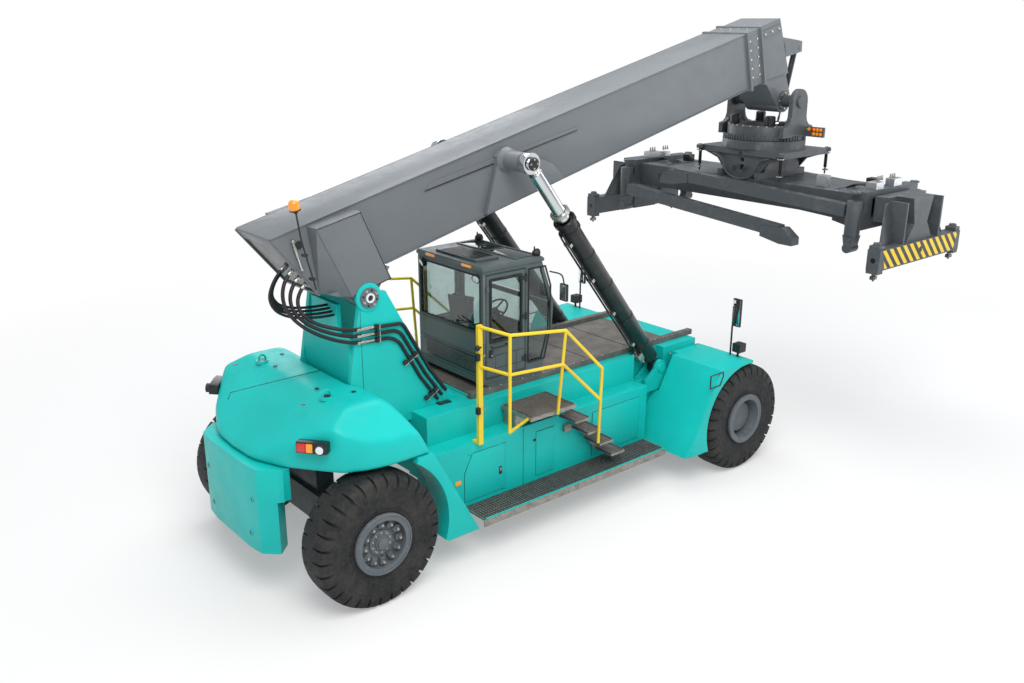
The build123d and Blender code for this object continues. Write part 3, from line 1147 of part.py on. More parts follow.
def tower_hoses():
    """Three hydraulic hoses clamped along the right-hand tower plate."""
    parts = []
    for k in (-1, 0, 1):
        path = FilletPolyline(*tower_route(k), radius=[200 - k * HOSE_PITCH, 300 + k * HOSE_PITCH])
        face = Plane(origin=path @ 0, z_dir=path % 0) * Circle(HOSE_R)
        parts.append(sweep(face, path=path).solid())
    return parts


def hose(points, radius):
    """A hose through points: straight runs joined by arcs as large as the runs allow."""
    points = [Vector(*p) for p in points]
    radii = []
    for a, b, c in zip(points, points[1:], points[2:]):
        turn = (b - a).get_angle(c - b)
        shorter = min((b - a).length, (c - b).length)
        radii.append(0.45 * shorter / tan(radians(turn) / 2))
    print("hose radii", [round(r) for r in radii])
    path = FilletPolyline(*points, radius=radii)
    face = Plane(origin=path @ 0, z_dir=path % 0) * Circle(radius)
    return sweep(face, path=path).solid()


def tail_start(along, straight, y):
    """Where a hose leaves the boom's tail, and the end of its first straight run."""
    ends = []
    for outward in (FIT_GAP, FIT_GAP + straight):
        x, z = on_boom(*tail_edge(along, outward))
        ends.append((x, y, z))
    return ends


def boom_hose_runs():
    """Three free hoses from the boom's tail to the hoses clamped on the tower."""
    parts = []
    for k, (along, straight, route) in enumerate(RUN_HOSES):
        first, second = (Vector(*p) for p in tower_route(1 - k)[:2])
        end = first - (second - first).normalized() * FIT_GAP
        parts.append(hose(tail_start(along, straight, RUN_START_Y) + route + [end], HOSE_R))
    return parts


def boom_hose_loops():
    """Four free hoses in a loop from the boom's tail into the tower."""
    parts = []
    for k, (along, straight, route) in enumerate(LOOP_HOSES):
        y = LOOP_START_Y + LOOP_PITCH_Y * k
        points = [(x, y, z) for x, z in route]
        end = (TOWER_WALL_X - FIT_GAP, y, points[-1][2])
        parts.append(hose(tail_start(along, straight, y) + points + [end], LOOP_HOSE_R))
    return parts


def save(name, shape):
    """Write one piece, moved from the machine frame to the file's frame."""
    export_step(ORIGIN_SHIFT * shape, os.path.join("parts", name + ".step"))


def write_all():
    """Make every piece and write its STEP file."""
    os.makedirs("parts", exist_ok=True)
    rear_tyre, rear_rim = rear_wheel()
    front_tyres, front_rims = front_wheels()
    save("rear_tyre_left", rear_tyre)
    save("rear_tyre_right", flipped(rear_tyre))
    save("rear_rim_left", rear_rim)
    save("rear_rim_right", flipped(rear_rim))
    save("front_tyres_left", front_tyres)
    save("front_tyres_right", flipped(front_tyres))
    save("front_rims_left", front_rims)
    save("front_rims_right", flipped(front_rims))
    save("steer_axle", steer_axle())
    save("knuckle_left", knuckle())
    save("knuckle_right", flipped(knuckle()))
    save("drive_axle", drive_axle())
    save("chassis_frame", chassis_frame())
    save("boom_tower", boom_tower())
    save("counterweight", counterweight())
    save("counterweight_hood", counterweight_hood())
    save("rear_mudguards", both(rear_mudguard()))
    save("front_fenders", both(front_fender()))
    save("side_cabinet_right", side_cabinet())
    save("side_tank_left", side_tank())
    save("running_boards", running_boards())
    save("deck_plates", deck_plates())
    save("cab_rails", cab_rails())
    save("engine_block", engine_block())
    save("boarding_steps", boarding_steps())
    save("handrails", handrails())
    save("mirrors", both(mirrors()))
    save("cab_frame", cab_frame())
    save("cab_roof", cab_roof())
    save("cab_glass", cab_glass())
    save("door_left", door())
    save("door_right", flipped(door()))
    save("door_glass_left", door_glass())
    save("door_glass_right", flipped(door_glass()))
    save("seat_base", seat_base())
    save("seat_cushions", seat_cushions())
    save("cab_controls", cab_controls())
    save("boom_outer", boom_outer())
    save("boom_inner", boom_inner())
    save("lift_barrels", lift_barrels())
    save("lift_rods", lift_rods())
    save("damper_barrel", damper_barrel())
    save("damper_rod", damper_rod())
    save("rotator_yoke", rotator_yoke())
    save("slew_frame", slew_frame())
    save("slope_cylinders", slope_cylinders())
    save("spreader_frame", spreader_frame())
    save("telescope_left", telescope(1))
    save("telescope_right", telescope(-1))
    for end, sx in (("rear", -1), ("front", 1)):
        for hand, side in (("left", 1), ("right", -1)):
            save("twistlock_" + end + "_" + hand, twistlock(sx, side))
    save("piggyback_legs", Compound(children=legs(-1) + legs(1)))
    save("spreader_valves", spreader_valves())
    save("tower_hoses", Compound(children=tower_hoses()))
    save("boom_hose_runs", Compound(children=boom_hose_runs()))
    save("boom_hose_loops", Compound(children=boom_hose_loops()))


write_all()
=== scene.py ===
"""A container reach stacker: finishes and fine pieces built round its fixed construction frame."""
import json
import math

import bmesh
import bpy
from bpy.props import FloatProperty, FloatVectorProperty, IntProperty, PointerProperty
from mathutils import Matrix, Vector


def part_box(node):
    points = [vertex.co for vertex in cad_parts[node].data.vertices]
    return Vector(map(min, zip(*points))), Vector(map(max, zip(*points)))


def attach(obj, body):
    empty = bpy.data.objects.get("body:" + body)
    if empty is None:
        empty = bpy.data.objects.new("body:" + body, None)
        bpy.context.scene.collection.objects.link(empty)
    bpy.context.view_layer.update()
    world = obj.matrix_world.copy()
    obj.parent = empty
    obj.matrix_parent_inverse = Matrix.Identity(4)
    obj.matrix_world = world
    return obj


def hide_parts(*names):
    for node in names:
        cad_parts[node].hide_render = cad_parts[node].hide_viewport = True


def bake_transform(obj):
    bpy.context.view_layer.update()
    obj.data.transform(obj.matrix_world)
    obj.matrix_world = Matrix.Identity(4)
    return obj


bl_info = {
    "name": "Reach stacker looks",
    "version": (1, 0, 0),
    "blender": (4, 5, 0),
    "location": "View3D > Sidebar > Stacker",
    "description": "Finishes, tyres, hoses, cab fittings and spreader detail of a container reach stacker",
    "category": "Object",
}

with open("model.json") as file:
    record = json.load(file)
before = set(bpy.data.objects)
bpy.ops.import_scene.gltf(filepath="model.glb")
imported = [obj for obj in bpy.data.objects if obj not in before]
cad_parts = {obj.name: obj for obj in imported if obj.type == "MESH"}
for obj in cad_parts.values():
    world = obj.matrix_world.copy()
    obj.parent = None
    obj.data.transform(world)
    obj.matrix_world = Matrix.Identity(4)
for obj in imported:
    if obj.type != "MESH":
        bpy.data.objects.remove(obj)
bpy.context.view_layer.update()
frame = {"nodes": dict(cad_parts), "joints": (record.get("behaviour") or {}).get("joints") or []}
NODES = frame["nodes"]
JOINTS = {j["name"]: j for j in frame["joints"]}

# ---- places taken from the frame, in metres ----

REAR_AXLE = Vector(JOINTS["steer_right"]["pos_m"])
REAR_AXLE.y = 0
FRONT_AXLE = Vector(JOINTS["front_wheel_spin_left"]["pos_m"])
FRONT_AXLE.y = 0
BOOM_PIVOT = Vector(JOINTS["boom_lift"]["pos_m"])
BOOM_ALONG = -Vector(JOINTS["boom_extend"]["axis"]).normalized()
BOOM_UP = Vector((-BOOM_ALONG.z, 0, BOOM_ALONG.x))
HEAD_PIN = Vector(JOINTS["yoke_level"]["pos_m"])
SLEW = Vector(JOINTS["slew_turn"]["pos_m"])
X = Vector((1, 0, 0))
Y = Vector((0, 1, 0))
Z = Vector((0, 0, 1))
SIDES = (("left", 1), ("right", -1))
HANDS = (1, -1)


def at(x, y, z):
    """A point measured from the ground under the middle of the rear axle."""
    return Vector((REAR_AXLE.x + x, y, z))


def on_boom(s, y, t):
    """A point measured along, across and above the boom from its pivot."""
    return BOOM_PIVOT + BOOM_ALONG * s + BOOM_UP * t + Y * y


def on_slew(x, y, z):
    """A point measured from the rotator's upright axis, at a height above the ground."""
    return Vector((SLEW.x + x, y, z))


def ahead(x):
    """The x coordinate of a place measured forward from the rear axle."""
    return at(x, 0, 0).x


# ---- sizes and colours a user would change ----

def linear(code):
    """A linear colour with alpha from an sRGB hex value such as 1BD0C6."""
    parts = [int(code[i:i + 2], 16) / 255 for i in (0, 2, 4)]
    return tuple(c / 12.92 if c <= 0.04045 else ((c + 0.055) / 1.055) ** 2.4 for c in parts) + (1.0,)


class StackerSizes(bpy.types.PropertyGroup):
    """Sizes of the fine pieces."""
    lug_count: IntProperty(name="Tread lugs", description="Lugs round each tyre, on each side", default=30,
                           min=12)
    lug_height: FloatProperty(name="Lug height", description="Depth of the tread", default=0.034,
                              unit="LENGTH")
    grate_pitch: FloatProperty(name="Grating pitch", description="Distance between a grating's bars",
                               default=0.042, unit="LENGTH")
    hose_radius: FloatProperty(name="Hose radius", description="Radius of a spreader hose", default=0.013,
                               unit="LENGTH")


def swatch(name, description, code):
    """A colour a user may change, written as an sRGB hex value."""
    return FloatVectorProperty(name=name, description=description, subtype="COLOR", size=4, min=0, max=1,
                               default=linear(code))


class StackerColours(bpy.types.PropertyGroup):
    """Colours of the paints."""
    body: swatch("Body", "Sprayed topcoat of the chassis, hood and fenders", "0CBFB8")
    boom: swatch("Boom", "Sprayed topcoat of the boom", "6B7074")
    spreader: swatch("Spreader", "Enamel of the spreader and axles", "4C5155")
    cab: swatch("Cab", "Powder coat of the cab", "525E5E")
    rails: swatch("Rails", "Powder coat of the guard rails", "F0CF2E")
    rims: swatch("Rims", "Enamel of the wheel rims", "62696E")
    deck: swatch("Deck", "Mill finish of the deck plates", "74706B")


def sizes():
    """The sizes a user may change."""
    return bpy.context.scene.stacker_sizes


def colours():
    """The colours a user may change."""
    return bpy.context.scene.stacker_colours


# ---- materials ----

MM = 0.001
MATERIALS = {}
DUST = (0.45, 0.43, 0.40, 1)
# a Mix node's sockets for colours: its share, first and second colour, and its result
MIX_SHARE, MIX_FIRST, MIX_SECOND, MIX_RESULT = 0, 6, 7, 2
# a wave texture whose scale is one repeats once in this length
WAVE_LENGTH = math.tau / 20
# from one black warning stripe to the next, along the beam
STRIPE_PITCH = 0.19


def add(tree, kind, links=None, **settings):
    """Adds one node: its settings, and what its inputs take, a value, a socket or a node's first output."""
    made = tree.nodes.new("ShaderNode" + kind)
    for name, value in settings.items():
        setattr(made, name, value)
    for name, value in (links or {}).items():
        if isinstance(value, bpy.types.Node):
            value = value.outputs[0]
        if isinstance(value, bpy.types.NodeSocket):
            tree.links.new(value, made.inputs[name])
        else:
            made.inputs[name].default_value = value
    return made


def new_tree(name):
    """The empty node tree of a new material."""
    made = bpy.data.materials.new(name)
    made.use_nodes = True
    made.node_tree.nodes.clear()
    MATERIALS[name] = made
    return made.node_tree


def surfaced(tree, links):
    """Ends a material with its one shader and the output."""
    add(tree, "OutputMaterial", {"Surface": add(tree, "BsdfPrincipled", links)})


def toned(colour, share, lift=0.0):
    """A colour made darker or lighter by a share, and paler by a lift."""
    return [min(1, c * share + lift) for c in colour[:3]] + [1]


def mottled(tree, size, detail=3.0, roughness=0.6):
    """Soft unevenness about size metres across, fixed to the body."""
    body = add(tree, "TexCoord").outputs["Object"]
    return add(tree, "TexNoise", {"Vector": body, "Scale": 1 / size, "Detail": detail,
                                  "Roughness": roughness})


def patches(tree, size, start, end, low=0.0, high=1.0, detail=3.0, roughness=0.6):
    """Unevenness of that size whose stretch from start to end becomes low to high."""
    return add(tree, "MapRange", {"Value": mottled(tree, size, detail, roughness), "From Min": start,
                                  "From Max": end, "To Min": low, "To Max": high})


def two_tone(tree, first, second, size, start, end, detail=3.0, roughness=0.6):
    """Two colours in patches of that size."""
    share = patches(tree, size, start, end, detail=detail, roughness=roughness)
    return add(tree, "Mix", {MIX_SHARE: share, MIX_FIRST: first, MIX_SECOND: second},
               data_type="RGBA").outputs[MIX_RESULT]


def layered(tree, under, tint, place, strength):
    """A tint laid over what is under it where a pattern says, at a strength."""
    share = add(tree, "Math", {0: place, 1: strength}, operation="MULTIPLY")
    return add(tree, "Mix", {MIX_SHARE: share, MIX_FIRST: under, MIX_SECOND: tint},
               data_type="RGBA").outputs[MIX_RESULT]


def uneven_gloss(tree, size, low, high, detail=4.0):
    """Roughness that wanders between two values over patches of that size."""
    return patches(tree, size, 0.3, 0.7, low, high, detail)


def relief(tree, height, depth, strength, edge=0.0):
    """Relief of a real depth; edge also rounds hard edges in the shading by that radius."""
    links = {"Height": height, "Distance": depth, "Strength": strength}
    if edge:
        links["Normal"] = add(tree, "Bevel", {"Radius": edge}, samples=4)
    return add(tree, "Bump", links)


def low_down_patches(tree):
    """Where coats are drawn darker: in patches, from 1.3 m above the ground down, and most below 0.4 m."""
    body = add(tree, "TexCoord").outputs["Object"]
    height = add(tree, "SeparateXYZ", {"Vector": body}).outputs["Z"]
    low_down = add(tree, "MapRange", {"Value": height, "From Min": 1.3, "From Max": 0.4})
    spots = patches(tree, 60 * MM, 0.42, 0.75, detail=5.0, roughness=0.7)
    return add(tree, "Math", {0: low_down, 1: spots}, operation="MULTIPLY")


def settled(tree):
    """Where dust settles: in patches, most on what faces up."""
    normal = add(tree, "NewGeometry").outputs["Normal"]
    upward = add(tree, "SeparateXYZ", {"Vector": normal}).outputs["Z"]
    open_to_sky = add(tree, "MapRange", {"Value": upward, "From Min": 0.2, "To Min": 0.25})
    spots = patches(tree, 140 * MM, 0.5, 0.72, detail=6.0, roughness=0.7)
    return add(tree, "Math", {0: spots, 1: open_to_sky}, operation="MULTIPLY")


def edge_wear_and_highlight(tree, radius):
    """Where the paint is drawn paler: in patches along edges that the shading rounds, partly thin coat and
    partly painted highlight.
    """
    rounded = add(tree, "Bevel", {"Radius": radius}, samples=4)
    flat = add(tree, "NewGeometry").outputs["Normal"]
    along = add(tree, "VectorMath", {0: rounded, 1: flat}, operation="DOT_PRODUCT").outputs["Value"]
    turning = add(tree, "MapRange", {"Value": along, "From Min": 0.985, "From Max": 0.86})
    spots = patches(tree, 35 * MM, 0.45, 0.6, detail=5.0, roughness=0.75)
    return add(tree, "Math", {0: turning, 1: spots}, operation="MULTIPLY")


def sprayed(name, colour, rough, coat, dust=0.03, edge_radius=6 * MM):
    """Sprayed topcoat on plate: an even coat, faint orange peel, darker low down, grime on top, paler edges
    of thin coat and painted highlight.
    """
    tree = new_tree(name)
    smudge = settled(tree)
    tone = two_tone(tree, toned(colour, 0.94), toned(colour, 1.05), 900 * MM, 0.35, 0.7, detail=2.0)
    tone = layered(tree, tone, DUST, smudge, dust * 2)
    # a darker copy of the paint towards the ground, in patches
    tone = layered(tree, tone, toned(colour, 0.62), low_down_patches(tree), 0.35)
    # a paler copy of the paint along edges: partly thin coat, partly painted highlight
    tone = layered(tree, tone, toned(colour, 0.86, 0.10), edge_wear_and_highlight(tree, edge_radius * 1.5), 0.55)
    dulled = add(tree, "Math", {0: smudge, 1: 0.25}, operation="MULTIPLY")
    gloss = add(tree, "Math", {0: uneven_gloss(tree, 220 * MM, rough * 0.85, rough * 1.2), 1: dulled},
                operation="ADD")
    # orange peel is about 1.5 mm across on the real coat and is drawn 6 mm across so that it shows
    peel = relief(tree, mottled(tree, 6 * MM, 1.0), 0.12 * MM, 0.5, edge_radius)
    surfaced(tree, {"IOR": 1.5, "Specular IOR Level": 0.28, "Coat Weight": coat, "Coat Roughness": 0.12,
                    "Base Color": tone, "Roughness": gloss, "Normal": peel})


def teal_topcoat():
    """Polyurethane topcoat, sprayed and weathered to a satin gloss."""
    sprayed("polyurethane_topcoat_teal", colours().body, rough=0.42, coat=0.05, dust=0.012)


def boom_topcoat():
    """Polyurethane topcoat in slate grey, satin."""
    sprayed("polyurethane_topcoat_slate", colours().boom, rough=0.42, coat=0.15)


def spreader_enamel():
    """Alkyd enamel in charcoal, brushed and sprayed on castings and plate."""
    sprayed("alkyd_enamel_charcoal", colours().spreader, rough=0.45, coat=0.1, dust=0.16)


def cab_powder():
    """Powder coat in dark grey green: finely textured and satin."""
    sprayed("powder_coat_slate_green", colours().cab, rough=0.42, coat=0.1, dust=0.05, edge_radius=4 * MM)


def rail_powder():
    """Powder coat in safety yellow on tube, even and bright, with a little dust on top."""
    sprayed("powder_coat_safety_yellow", colours().rails, rough=0.35, coat=0.2, dust=0.06,
            edge_radius=3 * MM)


def rim_enamel():
    """Stoved enamel on wheel steel, with road film."""
    sprayed("stoved_enamel_rim_grey", colours().rims, rough=0.48, coat=0.05, dust=0.2, edge_radius=4 * MM)


def black_enamel_and_shade():
    """Gloss black enamel on cylinder barrels and brackets; the same black also stands as painted shade in
    holes, cups, the open tail, louvres, roof slots and under the step.
    """
    sprayed("alkyd_enamel_black", linear("1B1D1F"), rough=0.34, coat=0.25, dust=0.08)


def milled_aluminium():
    """Machined aluminium valve blocks: end-mill marks and a soft sheen."""
    tree = new_tree("milled_aluminium")
    # end-mill marks are under 1 mm apart and are drawn 15.8 mm apart so that they show
    marks = add(tree, "TexWave", {"Vector": add(tree, "TexCoord").outputs["Object"],
                                  "Scale": WAVE_LENGTH / (15.8 * MM), "Distortion": 2.0})
    surfaced(tree, {"Metallic": 1.0, "Base Color": linear("B9BCBE"),
                    "Roughness": uneven_gloss(tree, 20 * MM, 0.3, 0.5),
                    "Normal": relief(tree, marks.outputs["Fac"], 0.05 * MM, 0.4, 2 * MM)})


def hard_chrome():
    """Hard chrome, ground and polished, with fine marks and a film of oil."""
    tree = new_tree("hard_chrome_plate")
    surfaced(tree, {"Metallic": 1.0, "Base Color": linear("D2D5D8"),
                    "Roughness": uneven_gloss(tree, 90 * MM, 0.07, 0.2, detail=5.0),
                    "Normal": relief(tree, mottled(tree, 3 * MM, 2.0), 0.01 * MM, 0.3)})


def zinc_plate():
    """Zinc-plated fasteners: a dull bright coat with pale bloom."""
    tree = new_tree("zinc_plated_steel")
    tone = two_tone(tree, linear("A7A9A6"), linear("CFCDC4"), 25 * MM, 0.35, 0.7, detail=4.0)
    surfaced(tree, {"Metallic": 1.0, "Base Color": tone,
                    "Roughness": uneven_gloss(tree, 12 * MM, 0.28, 0.5, detail=3.0),
                    "Normal": relief(tree, mottled(tree, 4 * MM, 2.0), 0.03 * MM, 0.3)})


def forged_steel():
    """Forged and phosphated steel of the locking heads, rubbed bright by the castings they turn in."""
    tree = new_tree("forged_steel")
    tone = two_tone(tree, linear("4B4A48"), linear("9A9792"), 30 * MM, 0.4, 0.62, detail=5.0)
    surfaced(tree, {"Metallic": 1.0, "Base Color": tone,
                    "Roughness": uneven_gloss(tree, 20 * MM, 0.3, 0.6),
                    "Normal": relief(tree, mottled(tree, 9 * MM, 4.0), 0.25 * MM, 0.5, 2 * MM)})


def deck_steel():
    """Tread plate, hot rolled and lightly rusted: raised lozenges, worn pale in patches."""
    tree = new_tree("hot_rolled_tread_plate")
    base = colours().deck
    worn = two_tone(tree, toned(base, 0.72), toned(base, 1.15), 300 * MM, 0.4, 0.65, detail=6.0,
                    roughness=0.65)
    rust = patches(tree, 70 * MM, 0.56, 0.72, detail=6.0, roughness=0.8)
    rusty = layered(tree, worn, linear("6D4A35"), rust, 0.5)
    diagonal = add(tree, "Mapping", {"Vector": add(tree, "TexCoord").outputs["Object"],
                                     "Rotation": (0, 0, math.radians(45)), "Scale": (1, 1, 0.001)})
    lozenges = add(tree, "TexVoronoi", {"Vector": diagonal, "Scale": 1 / (34 * MM), "Randomness": 0.0})
    raised = add(tree, "MapRange", {"Value": lozenges, "From Min": 0.34, "From Max": 0.2})
    surfaced(tree, {"Metallic": 0.35, "IOR": 1.5, "Base Color": rusty,
                    "Roughness": uneven_gloss(tree, 50 * MM, 0.45, 0.7),
                    "Normal": relief(tree, raised, 2 * MM, 0.7, 3 * MM)})


def galvanised_grating():
    """Galvanised bar grating: pale grey spangle, dulled by weather."""
    tree = new_tree("hot_dip_galvanised_steel")
    body = add(tree, "TexCoord").outputs["Object"]
    cells = add(tree, "TexVoronoi", {"Vector": body, "Scale": 1 / (22 * MM)})
    share = add(tree, "MapRange", {"Value": cells, "From Min": 0.1, "From Max": 0.6})
    spangle = add(tree, "Mix", {MIX_SHARE: share, MIX_FIRST: linear("8F8B84"), MIX_SECOND: linear("A8A49C")},
                  data_type="RGBA").outputs[MIX_RESULT]
    dulled = two_tone(tree, spangle, linear("857B70"), 120 * MM, 0.45, 0.7, detail=5.0)
    surfaced(tree, {"Metallic": 0.7, "Base Color": dulled,
                    "Roughness": uneven_gloss(tree, 30 * MM, 0.4, 0.6),
                    "Normal": relief(tree, mottled(tree, 7 * MM), 0.1 * MM, 0.4)})


def tyre_rubber():
    """Carbon-black tread rubber: matte, scuffed and dusty in patches."""
    tree = new_tree("carbon_black_tyre_rubber")
    scuffed = two_tone(tree, linear("1D1E1F"), linear("333434"), 45 * MM, 0.42, 0.7, detail=8.0,
                       roughness=0.75)
    dusty = layered(tree, scuffed, linear("57534D"), patches(tree, 260 * MM, 0.45, 0.75, detail=5.0), 0.35)
    surfaced(tree, {"IOR": 1.52, "Specular IOR Level": 0.35, "Base Color": dusty,
                    "Roughness": uneven_gloss(tree, 30 * MM, 0.6, 0.85, detail=5.0),
                    "Normal": relief(tree, mottled(tree, 8 * MM, 6.0, 0.7), 0.6 * MM, 0.5, 5 * MM)})


def hose_cover():
    """Nitrile hose cover, faintly uneven from its curing tape."""
    tree = new_tree("nitrile_hose_cover")
    surfaced(tree, {"IOR": 1.5, "Base Color": linear("17181A"),
                    "Roughness": uneven_gloss(tree, 40 * MM, 0.38, 0.6),
                    "Normal": relief(tree, mottled(tree, 5 * MM), 0.2 * MM, 0.4)})


def moulded_black():
    """Injection-moulded polypropylene with a fine leather grain."""
    tree = new_tree("moulded_polypropylene_black")
    # the real grain is under 1 mm across and is drawn 2.5 mm across so that it shows
    grain = add(tree, "TexVoronoi", {"Vector": add(tree, "TexCoord").outputs["Object"],
                                     "Scale": 1 / (2.5 * MM)}, feature="F2")
    surfaced(tree, {"IOR": 1.49, "Base Color": linear("202224"),
                    "Roughness": uneven_gloss(tree, 60 * MM, 0.42, 0.6),
                    "Normal": relief(tree, grain, 0.15 * MM, 0.4, 3 * MM)})


def window_glass():
    """Laminated safety glass with a green-grey tint and a film of dust."""
    tree = new_tree("tinted_laminated_glass")
    film = two_tone(tree, linear("C4D2D0"), linear("B4C4C2"), 400 * MM, 0.4, 0.8, detail=5.0)
    surfaced(tree, {"IOR": 1.5, "Transmission Weight": 1.0, "Roughness": 0.0, "Base Color": film})


def seat_cloth():
    """Woven polyester seat cloth: a coarse plain weave in charcoal."""
    tree = new_tree("woven_polyester_cloth")
    # the real yarn is about 1 mm apart and is drawn 7.9 mm apart so that it shows
    wave = {"Vector": add(tree, "TexCoord").outputs["Object"], "Scale": WAVE_LENGTH / (7.9 * MM)}
    across, along = [add(tree, "TexWave", wave, bands_direction=direction) for direction in ("Y", "Z")]
    weave = add(tree, "Math", {0: across.outputs["Fac"], 1: along.outputs["Fac"]}, operation="MAXIMUM")
    tone = add(tree, "Mix", {MIX_SHARE: weave, MIX_FIRST: linear("191A1C"), MIX_SECOND: linear("3A3C40")},
               data_type="RGBA")
    surfaced(tree, {"Sheen Weight": 0.25, "IOR": 1.45, "Base Color": tone.outputs[MIX_RESULT],
                    "Roughness": uneven_gloss(tree, 80 * MM, 0.8, 0.95, detail=3.0),
                    "Normal": relief(tree, weave, 0.5 * MM, 0.6)})


def hazard_enamel():
    """Warning stripes in black and yellow enamel, brushed on at forty-five degrees."""
    tree = new_tree("hazard_stripe_enamel")
    body = add(tree, "SeparateXYZ", {"Vector": add(tree, "TexCoord").outputs["Object"]})
    slant = add(tree, "Math", {0: body.outputs["X"], 1: body.outputs["Z"]}, operation="ADD")
    # a fraction counts on from zero, so the slant is first brought above it
    above_zero = add(tree, "Math", {0: slant, 1: 20.0}, operation="ADD")
    pitches = add(tree, "Math", {0: above_zero, 1: STRIPE_PITCH}, operation="DIVIDE")
    turn = add(tree, "Math", {0: pitches, 1: 0.0}, operation="FRACT")
    stripe = add(tree, "Math", {0: turn, 1: 0.5}, operation="GREATER_THAN")
    stripes = add(tree, "Mix", {MIX_SHARE: stripe, MIX_FIRST: linear("F2CE16"),
                                MIX_SECOND: linear("202224")}, data_type="RGBA").outputs[MIX_RESULT]
    wear = patches(tree, 60 * MM, 0.62, 0.72, detail=6.0, roughness=0.75)
    worn = layered(tree, stripes, linear("6E6E6C"), wear, 0.4)
    surfaced(tree, {"IOR": 1.5, "Base Color": worn, "Roughness": uneven_gloss(tree, 100 * MM, 0.35, 0.55),
                    "Normal": relief(tree, mottled(tree, 6 * MM, 1.0), 0.1 * MM, 0.4, 4 * MM)})


def lens(name, code, glow):
    """Moulded acrylic lamp lens with prism ribs behind a glossy face."""
    tree = new_tree(name)
    # prism ribs are about 3 mm apart and are drawn 17.8 mm apart so that they show
    ribs = add(tree, "TexWave", {"Vector": add(tree, "TexCoord").outputs["Object"],
                                 "Scale": WAVE_LENGTH / (17.8 * MM)}, bands_direction="Z")
    surfaced(tree, {"IOR": 1.49, "Base Color": linear(code), "Roughness": 0.12, "Coat Weight": 0.6,
                    "Emission Color": linear(code), "Emission Strength": glow,
                    "Normal": relief(tree, ribs.outputs["Fac"], 0.8 * MM, 0.6)})


def mirror_glass():
    """Silvered convex mirror glass with a thin film of dust."""
    tree = new_tree("silvered_mirror_glass")
    surfaced(tree, {"Metallic": 1.0, "Base Color": linear("DDE2E4"),
                    "Roughness": patches(tree, 80 * MM, 0.4, 0.8, 0.02, 0.1, detail=4.0)})


def make_materials():
    """All finishes, made once."""
    for maker in (teal_topcoat, boom_topcoat, spreader_enamel, cab_powder, rail_powder, rim_enamel,
                  black_enamel_and_shade, milled_aluminium, hard_chrome, zinc_plate, forged_steel, deck_steel,
                  galvanised_grating, tyre_rubber, hose_cover, moulded_black, window_glass, seat_cloth,
                  hazard_enamel, mirror_glass):
        maker()
    lens("acrylic_lens_red", "C4201B", 0.1)
    lens("acrylic_lens_amber", "E88A1A", 0.25)
    lens("acrylic_lens_green", "2F9A4B", 0.1)
    lens("acrylic_lens_clear", "D9DEDF", 0.05)


# ---- shapes ----

HARD_EDGE = math.radians(32)
ROUNDED_EDGE = math.radians(50)


def frame_of(axis):
    """A turn that takes the upright axis to another direction."""
    return Vector(axis).to_track_quat("Z", "Y").to_matrix().to_4x4()


